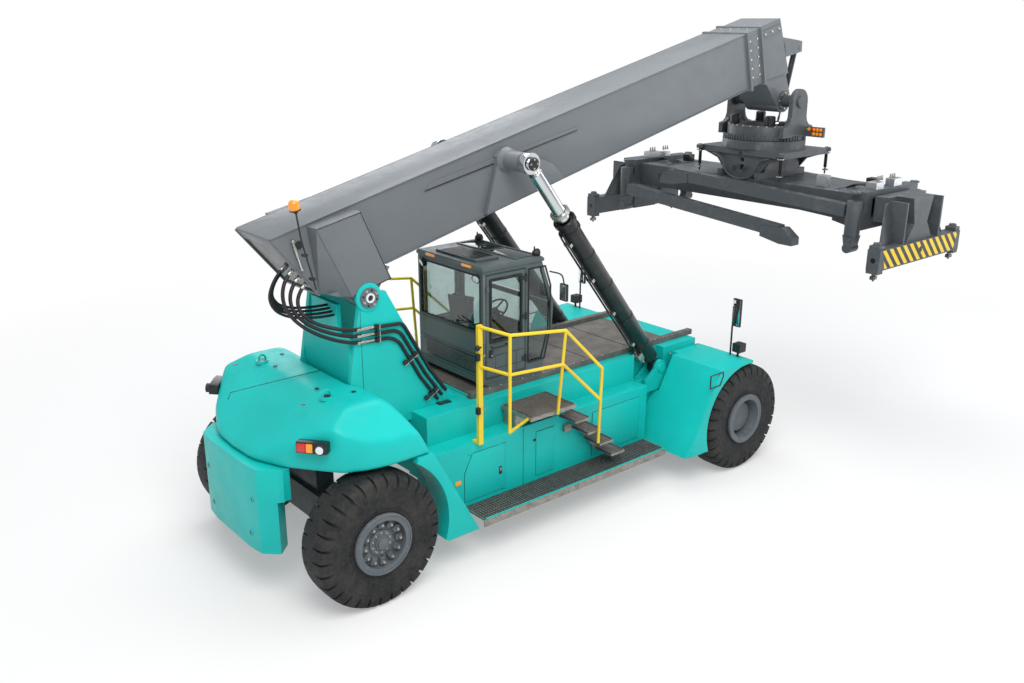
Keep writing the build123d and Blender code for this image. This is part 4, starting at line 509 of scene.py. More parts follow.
class Shape:
    """Solids gathered in one mesh, each with its own finish, and handed over as one piece."""

    def __init__(self):
        self.mesh = bmesh.new()
        self.finishes = []

    def paint(self, faces, finish):
        """Gives faces a finish."""
        if finish not in self.finishes:
            self.finishes.append(finish)
        for face in faces:
            face.material_index = self.finishes.index(finish)

    def soften(self, verts, width):
        """Rounds the hard edges of the solid that has these corners."""
        # a dictionary keeps the edges in the order in which they are found
        edges = dict.fromkeys(e for v in verts for e in v.link_edges
                              if len(e.link_faces) == 2 and e.calc_face_angle(0) > ROUNDED_EDGE)
        made = bmesh.ops.bevel(self.mesh, geom=list(edges), offset=width, segments=2, profile=0.6,
                               affect="EDGES", clamp_overlap=True)
        return made["faces"]

    def solid(self, verts, finish, soft):
        """Paints a new solid and rounds its edges."""
        faces = {f for v in verts for f in v.link_faces}
        self.paint(faces, finish)
        if soft:
            self.paint(self.soften(verts, soft), finish)

    def block(self, centre, size, finish, turn=None, soft=0.004):
        """A box with rounded edges; turn is a rotation matrix."""
        scale = Matrix.Diagonal(Vector(size).to_4d())
        matrix = Matrix.Translation(centre) @ (turn.to_4x4() if turn else Matrix.Identity(4)) @ scale
        made = bmesh.ops.create_cube(self.mesh, size=1, matrix=matrix)
        self.solid(made["verts"], finish, soft)

    def span(self, x, y, z, finish, soft=0.004):
        """A box between two corners' coordinates."""
        low = Vector((min(x), min(y), min(z)))
        high = Vector((max(x), max(y), max(z)))
        self.block((low + high) / 2, high - low, finish, soft=soft)

    def prism(self, outline, thick, finish, soft=0.004):
        """A flat outline of points pushed out by a vector."""
        lower = [self.mesh.verts.new(Vector(p)) for p in outline]
        upper = [self.mesh.verts.new(Vector(p) + Vector(thick)) for p in outline]
        count = len(outline)
        faces = [self.mesh.faces.new(lower), self.mesh.faces.new(list(reversed(upper)))]
        for i in range(count):
            j = (i + 1) % count
            faces.append(self.mesh.faces.new((lower[j], lower[i], upper[i], upper[j])))
        bmesh.ops.recalc_face_normals(self.mesh, faces=faces)
        self.solid(lower + upper, finish, soft)

    def rod(self, start, end, radius, finish, end_radius=None, sides=20, soft=0.0):
        """A round bar or cone between two points."""
        start, end = Vector(start), Vector(end)
        matrix = Matrix.Translation((start + end) / 2) @ frame_of(end - start)
        made = bmesh.ops.create_cone(self.mesh, cap_ends=True, segments=sides, radius1=radius,
                                     radius2=radius if end_radius is None else end_radius,
                                     depth=(end - start).length, matrix=matrix)
        self.solid(made["verts"], finish, soft)

    def ball(self, centre, radius, finish, stretch=(1, 1, 1)):
        """A sphere, or one stretched along the axes."""
        matrix = Matrix.Translation(centre) @ Matrix.Diagonal(Vector(stretch).to_4d())
        made = bmesh.ops.create_uvsphere(self.mesh, u_segments=20, v_segments=12, radius=radius,
                                         matrix=matrix)
        self.solid(made["verts"], finish, 0)

    def turned(self, origin, axis, profile, finish, sides=40):
        """A closed outline of (radius, height) points turned about an axis."""
        matrix = Matrix.Translation(origin) @ frame_of(axis)
        rings = []
        for i in range(sides):
            angle = 2 * math.pi * i / sides
            rings.append([self.mesh.verts.new(matrix @ Vector((r * math.cos(angle), r * math.sin(angle), h)))
                          for r, h in profile])
        faces = []
        for i in range(sides):
            here, there = rings[i], rings[(i + 1) % sides]
            for j in range(len(profile)):
                k = (j + 1) % len(profile)
                if profile[j][0] + profile[k][0] > 1e-6:
                    corners = [here[j], there[j], there[k], here[k]]
                    faces.append(self.mesh.faces.new(corners))
        self.paint(faces, finish)
        bmesh.ops.recalc_face_normals(self.mesh, faces=faces)

    def tube(self, points, radius, finish, sides=10):
        """A round tube along points; its direction turns without twisting."""
        points = [Vector(p) for p in points]
        rings = []
        side = None
        for i, point in enumerate(points):
            ahead = points[min(i + 1, len(points) - 1)] - points[max(i - 1, 0)]
            ahead.normalize()
            if side is None:
                side = ahead.orthogonal().normalized()
            side = (side - ahead * side.dot(ahead)).normalized()
            across = ahead.cross(side)
            rings.append([self.mesh.verts.new(point + radius * (side * math.cos(a) + across * math.sin(a)))
                          for a in (2 * math.pi * k / sides for k in range(sides))])
        faces = []
        for here, there in zip(rings, rings[1:]):
            for k in range(sides):
                n = (k + 1) % sides
                faces.append(self.mesh.faces.new((here[k], here[n], there[n], there[k])))
        faces += [self.mesh.faces.new(list(reversed(rings[0]))), self.mesh.faces.new(rings[-1])]
        self.paint(faces, finish)

    def loop_of_rods(self, corners, radius, finish, sides=8, balls=False):
        """Rods along a closed outline; balls round its corners off."""
        for a, b in zip(corners, corners[1:] + corners[:1]):
            self.rod(a, b, radius, finish, sides=sides)
        for corner in corners if balls else ():
            self.ball(corner, radius, finish)

    def bolt(self, seat, axis, size, finish):
        """A flange bolt's washer and six-sided head on its seat; its parts are shares of its size."""
        seat, axis = Vector(seat), Vector(axis).normalized()
        washer_top = seat + axis * size * 0.16
        self.rod(seat, washer_top, size * 0.68, finish, size * 0.62, sides=14)
        self.rod(washer_top, seat + axis * size * 0.62, size * 0.55, finish, size * 0.5, sides=6)

    def bolts(self, seats, axis, finish, size):
        """A set of like bolts."""
        for seat in seats:
            self.bolt(seat, axis, size, finish)

    def piece(self, name, body, slot=None, stands_for=()):
        """Hands the shape over as one piece that rides on a body."""
        for face in self.mesh.faces:
            face.smooth = True
        for edge in self.mesh.edges:
            edge.smooth = len(edge.link_faces) == 2 and edge.calc_face_angle(0) < HARD_EDGE
        data = bpy.data.meshes.new(name)
        self.mesh.to_mesh(data)
        self.mesh.free()
        for finish in self.finishes:
            data.materials.append(MATERIALS[finish])
        made = bpy.data.objects.new(name, data)
        bpy.context.scene.collection.objects.link(made)
        if body:
            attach(made, body)
        if stands_for:
            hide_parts(*stands_for)
        return made


def curved(points, steps=8):
    """Points along a smooth line through given points."""
    points = [Vector(p) for p in points]
    padded = [points[0] * 2 - points[1]] + points + [points[-1] * 2 - points[-2]]
    line = []
    for a, b, c, d in zip(padded, padded[1:], padded[2:], padded[3:]):
        for k in range(steps):
            t = k / steps
            line.append(0.5 * ((2 * b) + (c - a) * t + (2 * a - 5 * b + 4 * c - d) * t * t
                               + (3 * b - a - 3 * c + d) * t ** 3))
    return line + [points[-1]]


def ring_points(centre, axis, radius, count, start=0.0):
    """Points spaced evenly on a circle."""
    matrix = Matrix.Translation(centre) @ frame_of(axis)
    turns = [start + 2 * math.pi * i / count for i in range(count)]
    return [matrix @ Vector((radius * math.cos(a), radius * math.sin(a), 0)) for a in turns]


def disc(radius, height, top=None, foot=0.0, crown=None):
    """Half-outline of a turned disc: its radius at the foot and on top, and the height of its middle."""
    return [(0.0, foot), (radius, foot), (radius if top is None else top, height),
            (0.0, height if crown is None else crown)]


def band(inner, outer, height):
    """Half-outline of a turned ring with square edges."""
    return [(inner, 0.0), (outer, 0.0), (outer, height), (inner, height)]


# finish names, as used below
TEAL = "polyurethane_topcoat_teal"
SLATE = "polyurethane_topcoat_slate"
CHARCOAL = "alkyd_enamel_charcoal"
CAB = "powder_coat_slate_green"
YELLOW = "powder_coat_safety_yellow"
RIM = "stoved_enamel_rim_grey"
# black enamel, and also the black of painted shade in holes and recesses
BLACK = "alkyd_enamel_black"
MILLED = "milled_aluminium"
CHROME = "hard_chrome_plate"
ZINC = "zinc_plated_steel"
FORGED = "forged_steel"
DECK = "hot_rolled_tread_plate"
GRATE = "hot_dip_galvanised_steel"
RUBBER = "carbon_black_tyre_rubber"
HOSE = "nitrile_hose_cover"
PLASTIC = "moulded_polypropylene_black"
GLASS = "tinted_laminated_glass"
CLOTH = "woven_polyester_cloth"
HAZARD = "hazard_stripe_enamel"
MIRROR = "silvered_mirror_glass"
RED = "acrylic_lens_red"
AMBER = "acrylic_lens_amber"
GREEN = "acrylic_lens_green"
CLEAR = "acrylic_lens_clear"


# ---- construction nodes ----

NODE_FINISH = {
    TEAL: "chassis_frame boom_tower counterweight counterweight_hood rear_mudguards front_fenders "
          "side_cabinet_right side_tank_left",
    DECK: "deck_plates cab_rails",
    GRATE: "running_boards boarding_steps",
    CHARCOAL: "engine_block steer_axle drive_axle knuckle_left knuckle_right spreader_frame rotator_yoke "
              "slew_frame piggyback_legs telescope_left telescope_right",
    YELLOW: "handrails",
    PLASTIC: "mirrors cab_controls seat_base",
    MILLED: "spreader_valves",
    RIM: "rear_rim_left rear_rim_right front_rims_left front_rims_right",
    HOSE: "tower_hoses boom_hose_runs boom_hose_loops",
    CAB: "cab_frame cab_roof door_left door_right",
    GLASS: "cab_glass door_glass_left door_glass_right",
    SLATE: "boom_outer boom_inner",
    BLACK: "lift_barrels damper_barrel slope_cylinders",
    CHROME: "lift_rods damper_rod",
    FORGED: "twistlock_rear_left twistlock_rear_right twistlock_front_left twistlock_front_right",
}
EDGE_ROUNDING = 5 * MM
SHARP_NODES = ("tower_hoses boom_hose_runs boom_hose_loops cab_glass door_glass_left door_glass_right "
               "rear_tyre_left rear_tyre_right front_tyres_left front_tyres_right").split()


class STACKER_OT_finish_nodes(bpy.types.Operator):
    """Gives the listed construction nodes their finishes"""
    bl_idname = "stacker.finish_nodes"
    bl_label = "Finish the construction"

    def execute(self, context):
        for finish, names in NODE_FINISH.items():
            for name in names.split():
                node = NODES[name]
                node.data.materials.clear()
                node.data.materials.append(MATERIALS[finish])
                if name not in SHARP_NODES:
                    self.ease(node)
        return {"FINISHED"}

    def ease(self, node):
        """Rounds a node's hard edges by a few millimetres, as cut and sprayed plate has them."""
        weld = node.modifiers.new("weld", "WELD")
        weld.merge_threshold = 0.02 * MM
        flat = node.modifiers.new("flat_faces", "DECIMATE")
        flat.decimate_type = "DISSOLVE"
        flat.angle_limit = math.radians(0.5)
        rounding = node.modifiers.new("eased_edges", "BEVEL")
        rounding.width = EDGE_ROUNDING
        rounding.segments = 2
        rounding.limit_method = "ANGLE"
        rounding.angle_limit = ROUNDED_EDGE
        rounding.use_clamp_overlap = True
        rounding.harden_normals = True


# ---- tyres ----

TYRE_HALF_WIDTH = 0.25
COLUMNS = 8
# the columns of a pitch that lie in its groove
GROOVE_COLUMNS = (3, 4, 5)
EVEN = 0.25
# half-section: distance from the crown line, drop from the crown, groove depth as a share of the lugs'
# height, groove half width as a share of the pitch
TYRE_TREAD = (
    (0.035, 0, 0, EVEN), (0.070, 0.001, 0, 0.045), (0.078, 0.001, 0.6, 0.045), (0.125, 0.003, 1, 0.060),
    (0.175, 0.010, 1.05, 0.080), (0.208, 0.024, 1.1, 0.095), (0.230, 0.050, 1.05, 0.108),
    (0.2415, 0.085, 0.8, 0.118), (0.2465, 0.120, 0.5, 0.120), (0.2485, 0.150, 0.18, 0.118),
    (0.2495, 0.160, 0, 0.115),
)
TYRE_WALL = (
    (0.2460, 0.168), (0.2460, 0.195), (0.2490, 0.202), (0.2490, 0.212), (0.2455, 0.220), (0.2440, 0.270),
    (0.2390, 0.320), (0.2310, 0.360), (0.2330, 0.366), (0.2330, 0.378), (0.2270, 0.386), (0.2235, 0.410),
    (0.2230, 0.436), (0.2000, 0.462),
)
TYRE_SECTION = TYRE_TREAD + tuple((y, drop, 0, EVEN) for y, drop in TYRE_WALL)


def groove_angles(half_width, offset):
    """Where one pitch's eight columns stand, as shares of the pitch, with a groove in its middle."""
    edge = 0.5 - half_width
    foot = 0.5 - half_width * 0.7
    row = [0, edge / 2, edge, foot, 0.5, 1 - foot, 1 - edge, 1 - edge / 2]
    return [(row[(k + offset) % COLUMNS] + (1 if k + offset >= COLUMNS else 0)) - offset / COLUMNS
            for k in range(COLUMNS)]


def tyre(shape, hub, side):
    """A loader tyre round its hub: smooth crown, shoulder blocks cut by tapering grooves, ribbed walls."""
    radius = FRONT_AXLE.z
    pitches, deep = sizes().lug_count, sizes().lug_height
    # the lugs of one shoulder stand half a pitch on from the other's
    rows = [(-y, drop, share * deep, width, COLUMNS // 2)
            for y, drop, share, width in reversed(TYRE_SECTION)]
    rows += [(0, 0, 0, EVEN, 0)]
    rows += [(y, drop, share * deep, width, 0) for y, drop, share, width in TYRE_SECTION]
    rings = []
    for j, (y, drop, depth, width, offset) in enumerate(rows):
        before, after = rows[max(j - 1, 0)], rows[min(j + 1, len(rows) - 1)]
        run, rise = after[0] - before[0], before[1] - after[1]
        length = math.hypot(run, rise) or 1
        inward = Vector((rise / length, -run / length))
        ring = []
        for pitch in range(pitches):
            for k, share in enumerate(groove_angles(width, offset)):
                sunk = depth if (k + offset) % COLUMNS in GROOVE_COLUMNS else 0
                angle = 2 * math.pi * (pitch + share) / pitches
                across = y + inward.x * sunk
                out = radius - drop + inward.y * sunk
                ring.append(shape.mesh.verts.new(hub + Vector((out * math.sin(angle), across * side,
                                                               out * math.cos(angle)))))
        rings.append(ring)
    faces = []
    count = pitches * COLUMNS
    for here, there in zip(rings, rings[1:] + rings[:1]):
        for k in range(count):
            corners = (here[k], here[(k + 1) % count], there[(k + 1) % count], there[k])
            faces.append(shape.mesh.faces.new(corners))
    shape.paint(faces, RUBBER)
    bmesh.ops.recalc_face_normals(shape.mesh, faces=faces)


class STACKER_OT_tyres(bpy.types.Operator):
    """Six loader tyres: single ones on the steered axle, twins on the drive axle"""
    bl_idname = "stacker.tyres"
    bl_label = "Tyres"

    def execute(self, context):
        for hand, side in SIDES:
            hub = Vector(JOINTS["rear_wheel_spin_" + hand]["pos_m"])
            shape = Shape()
            tyre(shape, hub, side)
            shape.piece("steered_tyre_" + hand, "rear_wheel_" + hand, "tread_rubber", ["rear_tyre_" + hand])
            low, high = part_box("front_tyres_" + hand)
            shape = Shape()
            for y in (low.y + TYRE_HALF_WIDTH, high.y - TYRE_HALF_WIDTH):
                tyre(shape, Vector((FRONT_AXLE.x, y, FRONT_AXLE.z)), side)
            shape.piece("drive_tyres_" + hand, "front_wheels_" + hand, "tread_rubber",
                        ["front_tyres_" + hand])
        return {"FINISHED"}


# ---- free hoses at the boom's tail ----

RUN_RADIUS = 0.022
LOOP_RADIUS = 0.016
# route points in millimetres from the ground under the rear axle: x forward, y left, z up
RUN_ROUTES = (
    ((-42, -332, 3628), (-127, -332, 3559), (-204, -367, 3413), (-169, -435, 3269), (-50, -504, 3175),
     (96, -570, 3113), (252, -638.5, 3072), (415, -637.3, 3041.7), (525, -637.3, 3034.8)),
    ((-118, -332, 3721), (-211, -332, 3645), (-287, -361, 3497), (-279, -413, 3342), (-188, -473, 3216),
     (-60, -527, 3123), (84, -578, 3054), (239, -638.5, 3003), (400, -637.3, 2962.5), (520, -637.3, 2955)),
    ((-194, -332, 3814), (-291, -332, 3735), (-368, -356, 3584), (-378, -397, 3423), (-312, -448, 3278),
     (-204, -498, 3159), (-72, -543, 3064), (73, -586, 2988), (228, -638.5, 2930), (390, -637.3, 2883),
     (515, -637.3, 2875.2)),
)
# route points (x, z); each loop lies in its own upright plane
LOOP_ROUTES = (
    (-235, ((-232, 3860), (-325, 3784), (-428, 3649), (-482, 3490), (-418, 3338), (-278, 3245), (-116, 3194),
            (51, 3166), (220, 3150), (339.7, 3150))),
    (-185, ((-210, 3833), (-299, 3760), (-396, 3634), (-445, 3485), (-379, 3345), (-243, 3264), (-91, 3219),
            (66, 3194), (225, 3181), (339.7, 3181))),
    (-135, ((-188, 3806), (-273, 3737), (-364, 3618), (-408, 3479), (-339, 3352), (-209, 3282), (-66, 3244),
            (82, 3223), (230, 3212), (339.7, 3212))),
    (-85, ((-166, 3779), (-247, 3713), (-332, 3603), (-371, 3473), (-299, 3360), (-174, 3301), (-40, 3270),
           (97, 3253), (235, 3243), (339.7, 3243))),
)


def smooth_line(points):
    """Points along the NURBS line that has a route's points as its control points."""
    curve = bpy.data.curves.new("route", "CURVE")
    curve.dimensions = "3D"
    curve.resolution_u = 8
    spline = curve.splines.new("NURBS")
    spline.points.add(len(points) - 1)
    for control, point in zip(spline.points, points):
        control.co = (*point, 1)
    spline.order_u = 3
    spline.use_endpoint_u = True
    holder = bpy.data.objects.new("route", curve)
    mesh = bpy.data.meshes.new_from_object(holder)
    line = [v.co.copy() for v in mesh.vertices]
    bpy.data.meshes.remove(mesh)
    bpy.data.objects.remove(holder)
    return line


def free_hose(name, route, radius, node):
    """One free hose from the boom's tail to the tower."""
    points = [at(x * MM, y * MM, z * MM) for x, y, z in route]
    line = smooth_line(points)
    shape = Shape()
    shape.tube(line, radius, HOSE, sides=14)
    made = shape.piece(name, None, "hose_rubber", [node])
    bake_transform(made)


class STACKER_OT_free_hoses(bpy.types.Operator):
    """Hydraulic hoses that hang in a loop between the boom's tail and the tower"""
    bl_idname = "stacker.free_hoses"
    bl_label = "Free hoses"

    def execute(self, context):
        for k, route in enumerate(RUN_ROUTES):
            free_hose(f"boom_hose_run_{k + 1}", route, RUN_RADIUS, "boom_hose_runs")
        for k, (y, loop) in enumerate(LOOP_ROUTES):
            route = [(x, y, z) for x, z in loop]
            free_hose(f"boom_hose_loop_{k + 1}", route, LOOP_RADIUS, "boom_hose_loops")
        return {"FINISHED"}


# ---- wheels ----

# a split rim's lock ring: its section reaches this high on the single wheels and lower on the twins
LOCK_RING_HIGH = [(0.352, -0.012), (0.374, -0.010), (0.374, 0.002), (0.366, 0.010), (0.352, 0.006)]
LOCK_RING_LOW = [(0.352, -0.012), (0.374, -0.010), (0.374, 0.000), (0.366, 0.004), (0.352, 0.002)]
# the rim's outer plane and the twin wheels' disc, measured along the axle
RIM_OUT = 0.266
TWIN_DISC_IN = 0.325


class STACKER_OT_wheel_fittings(bpy.types.Operator):
    """Lock rings, wheel nuts, hub covers and valve stems"""
    bl_idname = "stacker.wheel_fittings"
    bl_label = "Wheel fittings"

    def execute(self, context):
        for hand, side in SIDES:
            self.steered(hand, Y * side)
            self.driven(hand, side)
        return {"FINISHED"}

    def steered(self, hand, out):
        """A single wheel: lock ring, rim well, nuts, hub cover and valve stem."""
        hub = Vector(JOINTS["rear_wheel_spin_" + hand]["pos_m"])
        shape = Shape()
        shape.turned(hub + out * RIM_OUT, out, LOCK_RING_HIGH, RIM, sides=64)
        well = [(0.296, -0.03), (0.304, -0.03), (0.304, 0.03), (0.296, 0.03)]
        shape.turned(hub + out * 0.2345, out, well, RIM, sides=48)
        shape.bolts(ring_points(hub + out * 0.2300, out, 0.235, 12), out, ZINC, 0.030)
        shape.bolts(ring_points(hub + out * 0.190, out, 0.120, 10, 0.3), out, ZINC, 0.022)
        cover = [(0.0, 0.0), (0.070, 0.0), (0.066, 0.022), (0.045, 0.036), (0.0, 0.040)]
        shape.turned(hub + out * 0.2250, out, cover, RIM)
        stem = [hub + out * y + Z * z for y, z in ((0.170, 0.285), (0.200, 0.288), (0.225, 0.275))]
        shape.tube(curved(stem), 0.006, ZINC)
        shape.piece("steered_wheel_fittings_" + hand, "rear_wheel_" + hand, "rim_paint")

    def driven(self, hand, side):
        """Twin wheels: the outer one's lock ring, its nuts and the hub's bolts."""
        out = Y * side
        low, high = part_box("front_rims_" + hand)
        hub = Vector((FRONT_AXLE.x, high.y if side > 0 else low.y, FRONT_AXLE.z))
        disc_middle = hub - out * TWIN_DISC_IN
        shape = Shape()
        shape.turned(hub, out, LOCK_RING_LOW, RIM, sides=64)
        shape.bolts(ring_points(disc_middle + out * 0.048, out, 0.250, 20), out, ZINC, 0.026)
        shape.bolts(ring_points(hub - out * 0.195, out, 0.1, 6), out, ZINC, 0.02)
        shape.piece("drive_wheel_fittings_" + hand, "front_wheels_" + hand, "rim_paint")


# ---- boom ----

# measures of the outer boom, along it from its pivot (s), across it (y) and square to it (t)
BOOM_SIDE = 0.41
BOOM_BOTTOM, BOOM_TOP = 0.2, 1.06
BOOM_END = 7.98
TAIL_BOTTOM, TAIL_TOP = -0.48, -0.88
BOX_OUT = 0.612
# the pin of the lift cylinders: its place along and square to the boom
LIFT_PIN = (2.49, 0.811)
SEAM_PROUD = 0.001


def on_plane(points, y):
    """Points of a side view of the boom, moved out to a distance across it."""
    return [on_boom(s, y, t) for s, t in points]


def side_box(shape, hand):
    """A boom's side box: a slanting outer face, a facet at its rear, and dark seams round it."""
    face = on_plane([(-0.19, 0.085), (0.365, 0.085), (0.21, 1.005), (-0.385, 1.025)], hand * BOX_OUT)
    inner = on_plane([(-0.19, 0.085), (0.365, 0.085), (0.21, 1.005), (-0.40, 1.025)],
                     hand * (BOOM_SIDE - 0.02))
    rear = on_boom(-0.49, hand * BOOM_SIDE, 0.225)
    verts = [shape.mesh.verts.new(v) for v in face + inner + [rear]]
    f0, f1, f2, f3, n0, n1, n2, n3, r = verts
    faces = [shape.mesh.faces.new(c) for c in ((f0, f1, f2, f3), (f0, n0, n1, f1), (f1, n1, n2, f2),
                                               (f2, n2, n3, f3), (f3, r, f0), (f0, r, n0), (f3, n3, r),
                                               (n0, r, n3, n2, n1))]
    bmesh.ops.recalc_face_normals(shape.mesh, faces=faces)
    shape.solid(verts, SLATE, 0.006)
    proud = Y * hand * SEAM_PROUD
    middle = (face[0] + face[2]) / 2
    for a, b in ((face[1], face[2]), (face[2], face[3]), (face[0], face[1])):
        inset = (middle - (a + b) / 2).normalized() * 0.012
        shape.rod(a + inset + proud, b + inset + proud, 0.005, BLACK, sides=6)
    shape.rod(face[3] + proud, face[0] + proud, 0.006, SLATE, sides=8)


class STACKER_OT_boom(bpy.types.Operator):
    """The booms' plate work: tail, side boxes, pivot ears, ledges, collars and head, and the beacon"""
    bl_idname = "stacker.boom"
    bl_label = "Boom"

    def execute(self, context):
        shape = Shape()
        self.tube(shape)
        for hand in HANDS:
            side_box(shape, hand)
            self.cheek(shape, hand)
        shape.piece("boom_outer_shell", "boom", "grey_paint", ["boom_outer"])
        self.tail()
        self.beacon()
        self.mouth()
        self.head()
        return {"FINISHED"}

    def tube(self, shape):
        """The box itself with two collars at its mouth, and ledges and a folded step on its sides."""
        side_view = [(TAIL_TOP, BOOM_TOP), (BOOM_END, BOOM_TOP), (BOOM_END, BOOM_BOTTOM),
                     (TAIL_BOTTOM, BOOM_BOTTOM)]
        shape.prism(on_plane(side_view, -BOOM_SIDE), Y * 2 * BOOM_SIDE, SLATE, 0.012)
        for s in (7.58, 7.93):
            collar = [(s, 0.16), (s + 0.05, 0.16), (s + 0.05, 1.08), (s, 1.08)]
            shape.prism(on_plane(collar, -0.445), Y * 0.89, SLATE, 0.005)
        # the top plate stands out over the sides, and a bent plate closes the lower corners
        ledges = ((1.045, BOOM_TOP, -0.86, 7.57), (BOOM_BOTTOM, 0.212, 0.45, 7.57))
        step = [(1.22, 0.85), (1.36, 0.915), (3.88, 0.80), (3.80, 0.76)]
        shadow = [(1.24, 0.852), (3.82, 0.764), (3.82, 0.752), (1.22, 0.838)]
        for hand in HANDS:
            y = hand * BOOM_SIDE
            for low, high, start, end in ledges:
                ledge = [(start, low), (end, low), (end, high), (start, high)]
                shape.prism(on_plane(ledge, y), Y * hand * 0.014, SLATE, 0.003)
            shape.prism(on_plane(step, y), Y * hand * 0.012, SLATE, 0.003)
            shape.prism(on_plane(shadow, y + hand * 0.0125), Y * hand * 0.002, BLACK, 0)

    def cheek(self, shape, hand):
        """One side's pivot ear, and the gusset and boss that carry a lift cylinder's pin."""
        ear = [(-0.43, 0.201), (0.43, 0.201), (0.26, 0.05), (0.15, -0.05), (0.10, -0.11), (0, -0.15),
               (-0.10, -0.11), (-0.16, -0.03), (-0.24, 0.08)]
        shape.prism(on_plane(ear, hand * 0.32), Y * hand * 0.213, SLATE, 0.008)
        gusset = [(2.01, 0.24), (3.39, 0.24), (3.24, 0.5), (2.64, 0.901), (2.55, 0.945), (2.43, 0.945),
                  (2.35, 0.90), (2.33, 0.8)]
        shape.prism(on_plane(gusset, hand * (BOOM_SIDE - 0.002)), Y * hand * 0.09, SLATE, 0.01)
        middle = on_boom(LIFT_PIN[0], 0, LIFT_PIN[1])
        shape.rod(middle + Y * hand * 0.40, middle + Y * hand * 0.83, 0.125, SLATE, sides=40, soft=0.008)
        shape.rod(middle + Y * hand * 0.499, middle + Y * hand * 0.56, 0.165, SLATE, 0.128, sides=40)

    def tail(self):
        """The open tail, its dark inside a black sheet of painted shade, with its light edges, lifting eyes
        whose holes hold painted shade, hose glands and a damper.
        """
        shape = Shape()
        foot = on_boom(TAIL_BOTTOM, 0, BOOM_BOTTOM)
        slope = (on_boom(TAIL_TOP, 0, BOOM_TOP) - foot).normalized()
        out = Vector((-slope.z, 0, slope.x))

        def plate(start, end, half_width, thick, finish, soft):
            """A plate on the sloping tail, from start to end up the slope."""
            corners = ((start, -half_width), (end, -half_width), (end, half_width), (start, half_width))
            shape.prism([foot + slope * a + Y * b for a, b in corners], out * thick, finish, soft)

        # a thin black sheet over the tail: painted shade for the dark inside of its open end
        plate(0.05, 0.80, 0.37, 0.0015, BLACK, 0)
        for hand in HANDS:
            low, high = [foot + slope * a + Y * hand * 0.39 for a in (0.0, 0.94)]
            shape.prism([low, high, high + out * 0.022, low + out * 0.022], Y * hand * 0.02, SLATE, 0.003)
        plate(0.80, 0.945, 0.405, 0.012, SLATE, 0.004)
        plate(0.0, 0.05, 0.4, 0.02, SLATE, 0.004)
        # glands: three of the long hoses above each other, then four of the loops side by side
        glands = [(up, -0.332, RUN_RADIUS) for up in (0.2, 0.32, 0.44)]
        glands += [(up, y, LOOP_RADIUS) for up, y in ((0.5, -0.235), (0.465, -0.185), (0.43, -0.135),
                                                      (0.395, -0.085))]
        for up, y, radius in glands:
            seat = foot + slope * up + Y * y
            shape.rod(seat, seat + out * 0.045, radius * 1.45, ZINC, sides=6, soft=0.002)
            shape.rod(seat + out * 0.04, seat + out * 0.095, radius * 1.2, ZINC, sides=16, soft=0.002)
        for hand in HANDS:
            eye = on_boom(-0.555, hand * (BOOM_SIDE + 0.0005), 0.86)
            rim = [(0.050, 0.0), (0.062, 0.0), (0.060, 0.007), (0.052, 0.007)]
            # a thin black disc in each eye: painted shade in its hole
            shape.turned(eye, Y * hand, disc(0.052, 0.0015), BLACK, 28)
            shape.turned(eye, Y * hand, rim, SLATE, 28)
        self.damper(shape)
        shape.piece("boom_tail_fittings", "boom", "black_paint")

    def damper(self, shape):
        """A gas damper beside the lamp's pole."""
        top, low = at(-0.218, -0.438, 4.089), at(-0.149, -0.438, 3.834)
        run = (low - top).normalized()
        shape.rod(top, top + run * 0.13, 0.017, ZINC, sides=16, soft=0.002)
        shape.rod(top + run * 0.12, low, 0.010, CHROME, sides=14)
        shape.rod(top - run * 0.05, top + run * 0.01, 0.012, ZINC, sides=12)
        for end in (top - run * 0.06, low + run * 0.02):
            shape.ball(end, 0.021, ZINC)
            shape.rod(end + Y * 0.03, end - Y * 0.02, 0.012, ZINC, sides=12)

    def beacon(self):
        """An amber beacon with ribbed glass on a bent pole, held by two brackets."""
        shape = Shape()
        y = -0.64
        base = at(-0.281, y, 4.532)
        up = (at(-0.312, y, 4.671) - base).normalized()
        shape.tube([at(-0.09, y, 3.62), at(-0.19, y, 4.02), at(-0.233, y, 4.19), base], 0.010, BLACK)
        socket = [(0.0, -0.03), (0.02, -0.03), (0.03, -0.005), (0.062, 0.0), (0.064, 0.014), (0.0, 0.014)]
        dome = [(0.0, 0.014), (0.058, 0.014), (0.061, 0.05), (0.058, 0.085), (0.048, 0.108), (0.03, 0.122),
                (0.0, 0.128)]
        shape.turned(base, up, socket, PLASTIC, 32)
        shape.turned(base, up, dome, AMBER, 32)
        ribs = 12
        side = up.orthogonal().normalized()
        for i in range(ribs):
            radial = Matrix.Rotation(2 * math.pi * i / ribs, 3, up) @ side
            shape.rod(base + up * 0.02 + radial * 0.0595, base + up * 0.085 + radial * 0.058, 0.0035, AMBER,
                      sides=6)
        for x, z in ((-0.116, 3.74), (-0.1888, 4.02)):
            shape.block(at(x, -0.61, z), (0.05, 0.07, 0.03), BLACK, soft=0.004)
        shape.piece("beacon_on_pole", "boom", "black_plastic")

    def mouth(self):
        """Bolted retainers of the wear pads at the boom's mouth."""
        shape = Shape()
        retainer = [(7.64, 0.3), (7.86, 0.3), (7.86, 0.98), (7.64, 0.98)]
        for hand in HANDS:
            for s in (7.66, 7.84):
                for t in (0.36, 0.5, 0.64, 0.78, 0.92):
                    shape.bolt(on_boom(s, hand * BOOM_SIDE, t), Y * hand, 0.03, ZINC)
            shape.prism(on_plane(retainer, hand * BOOM_SIDE), Y * hand * 0.008, SLATE, 0.003)
        for y in (-0.25, -0.08, 0.08, 0.25):
            for s in (7.68, 7.84):
                shape.bolt(on_boom(s, y, BOOM_TOP), BOOM_UP, 0.03, ZINC)
        shape.piece("boom_mouth_bolts_and_pipes", "boom", "grey_paint")

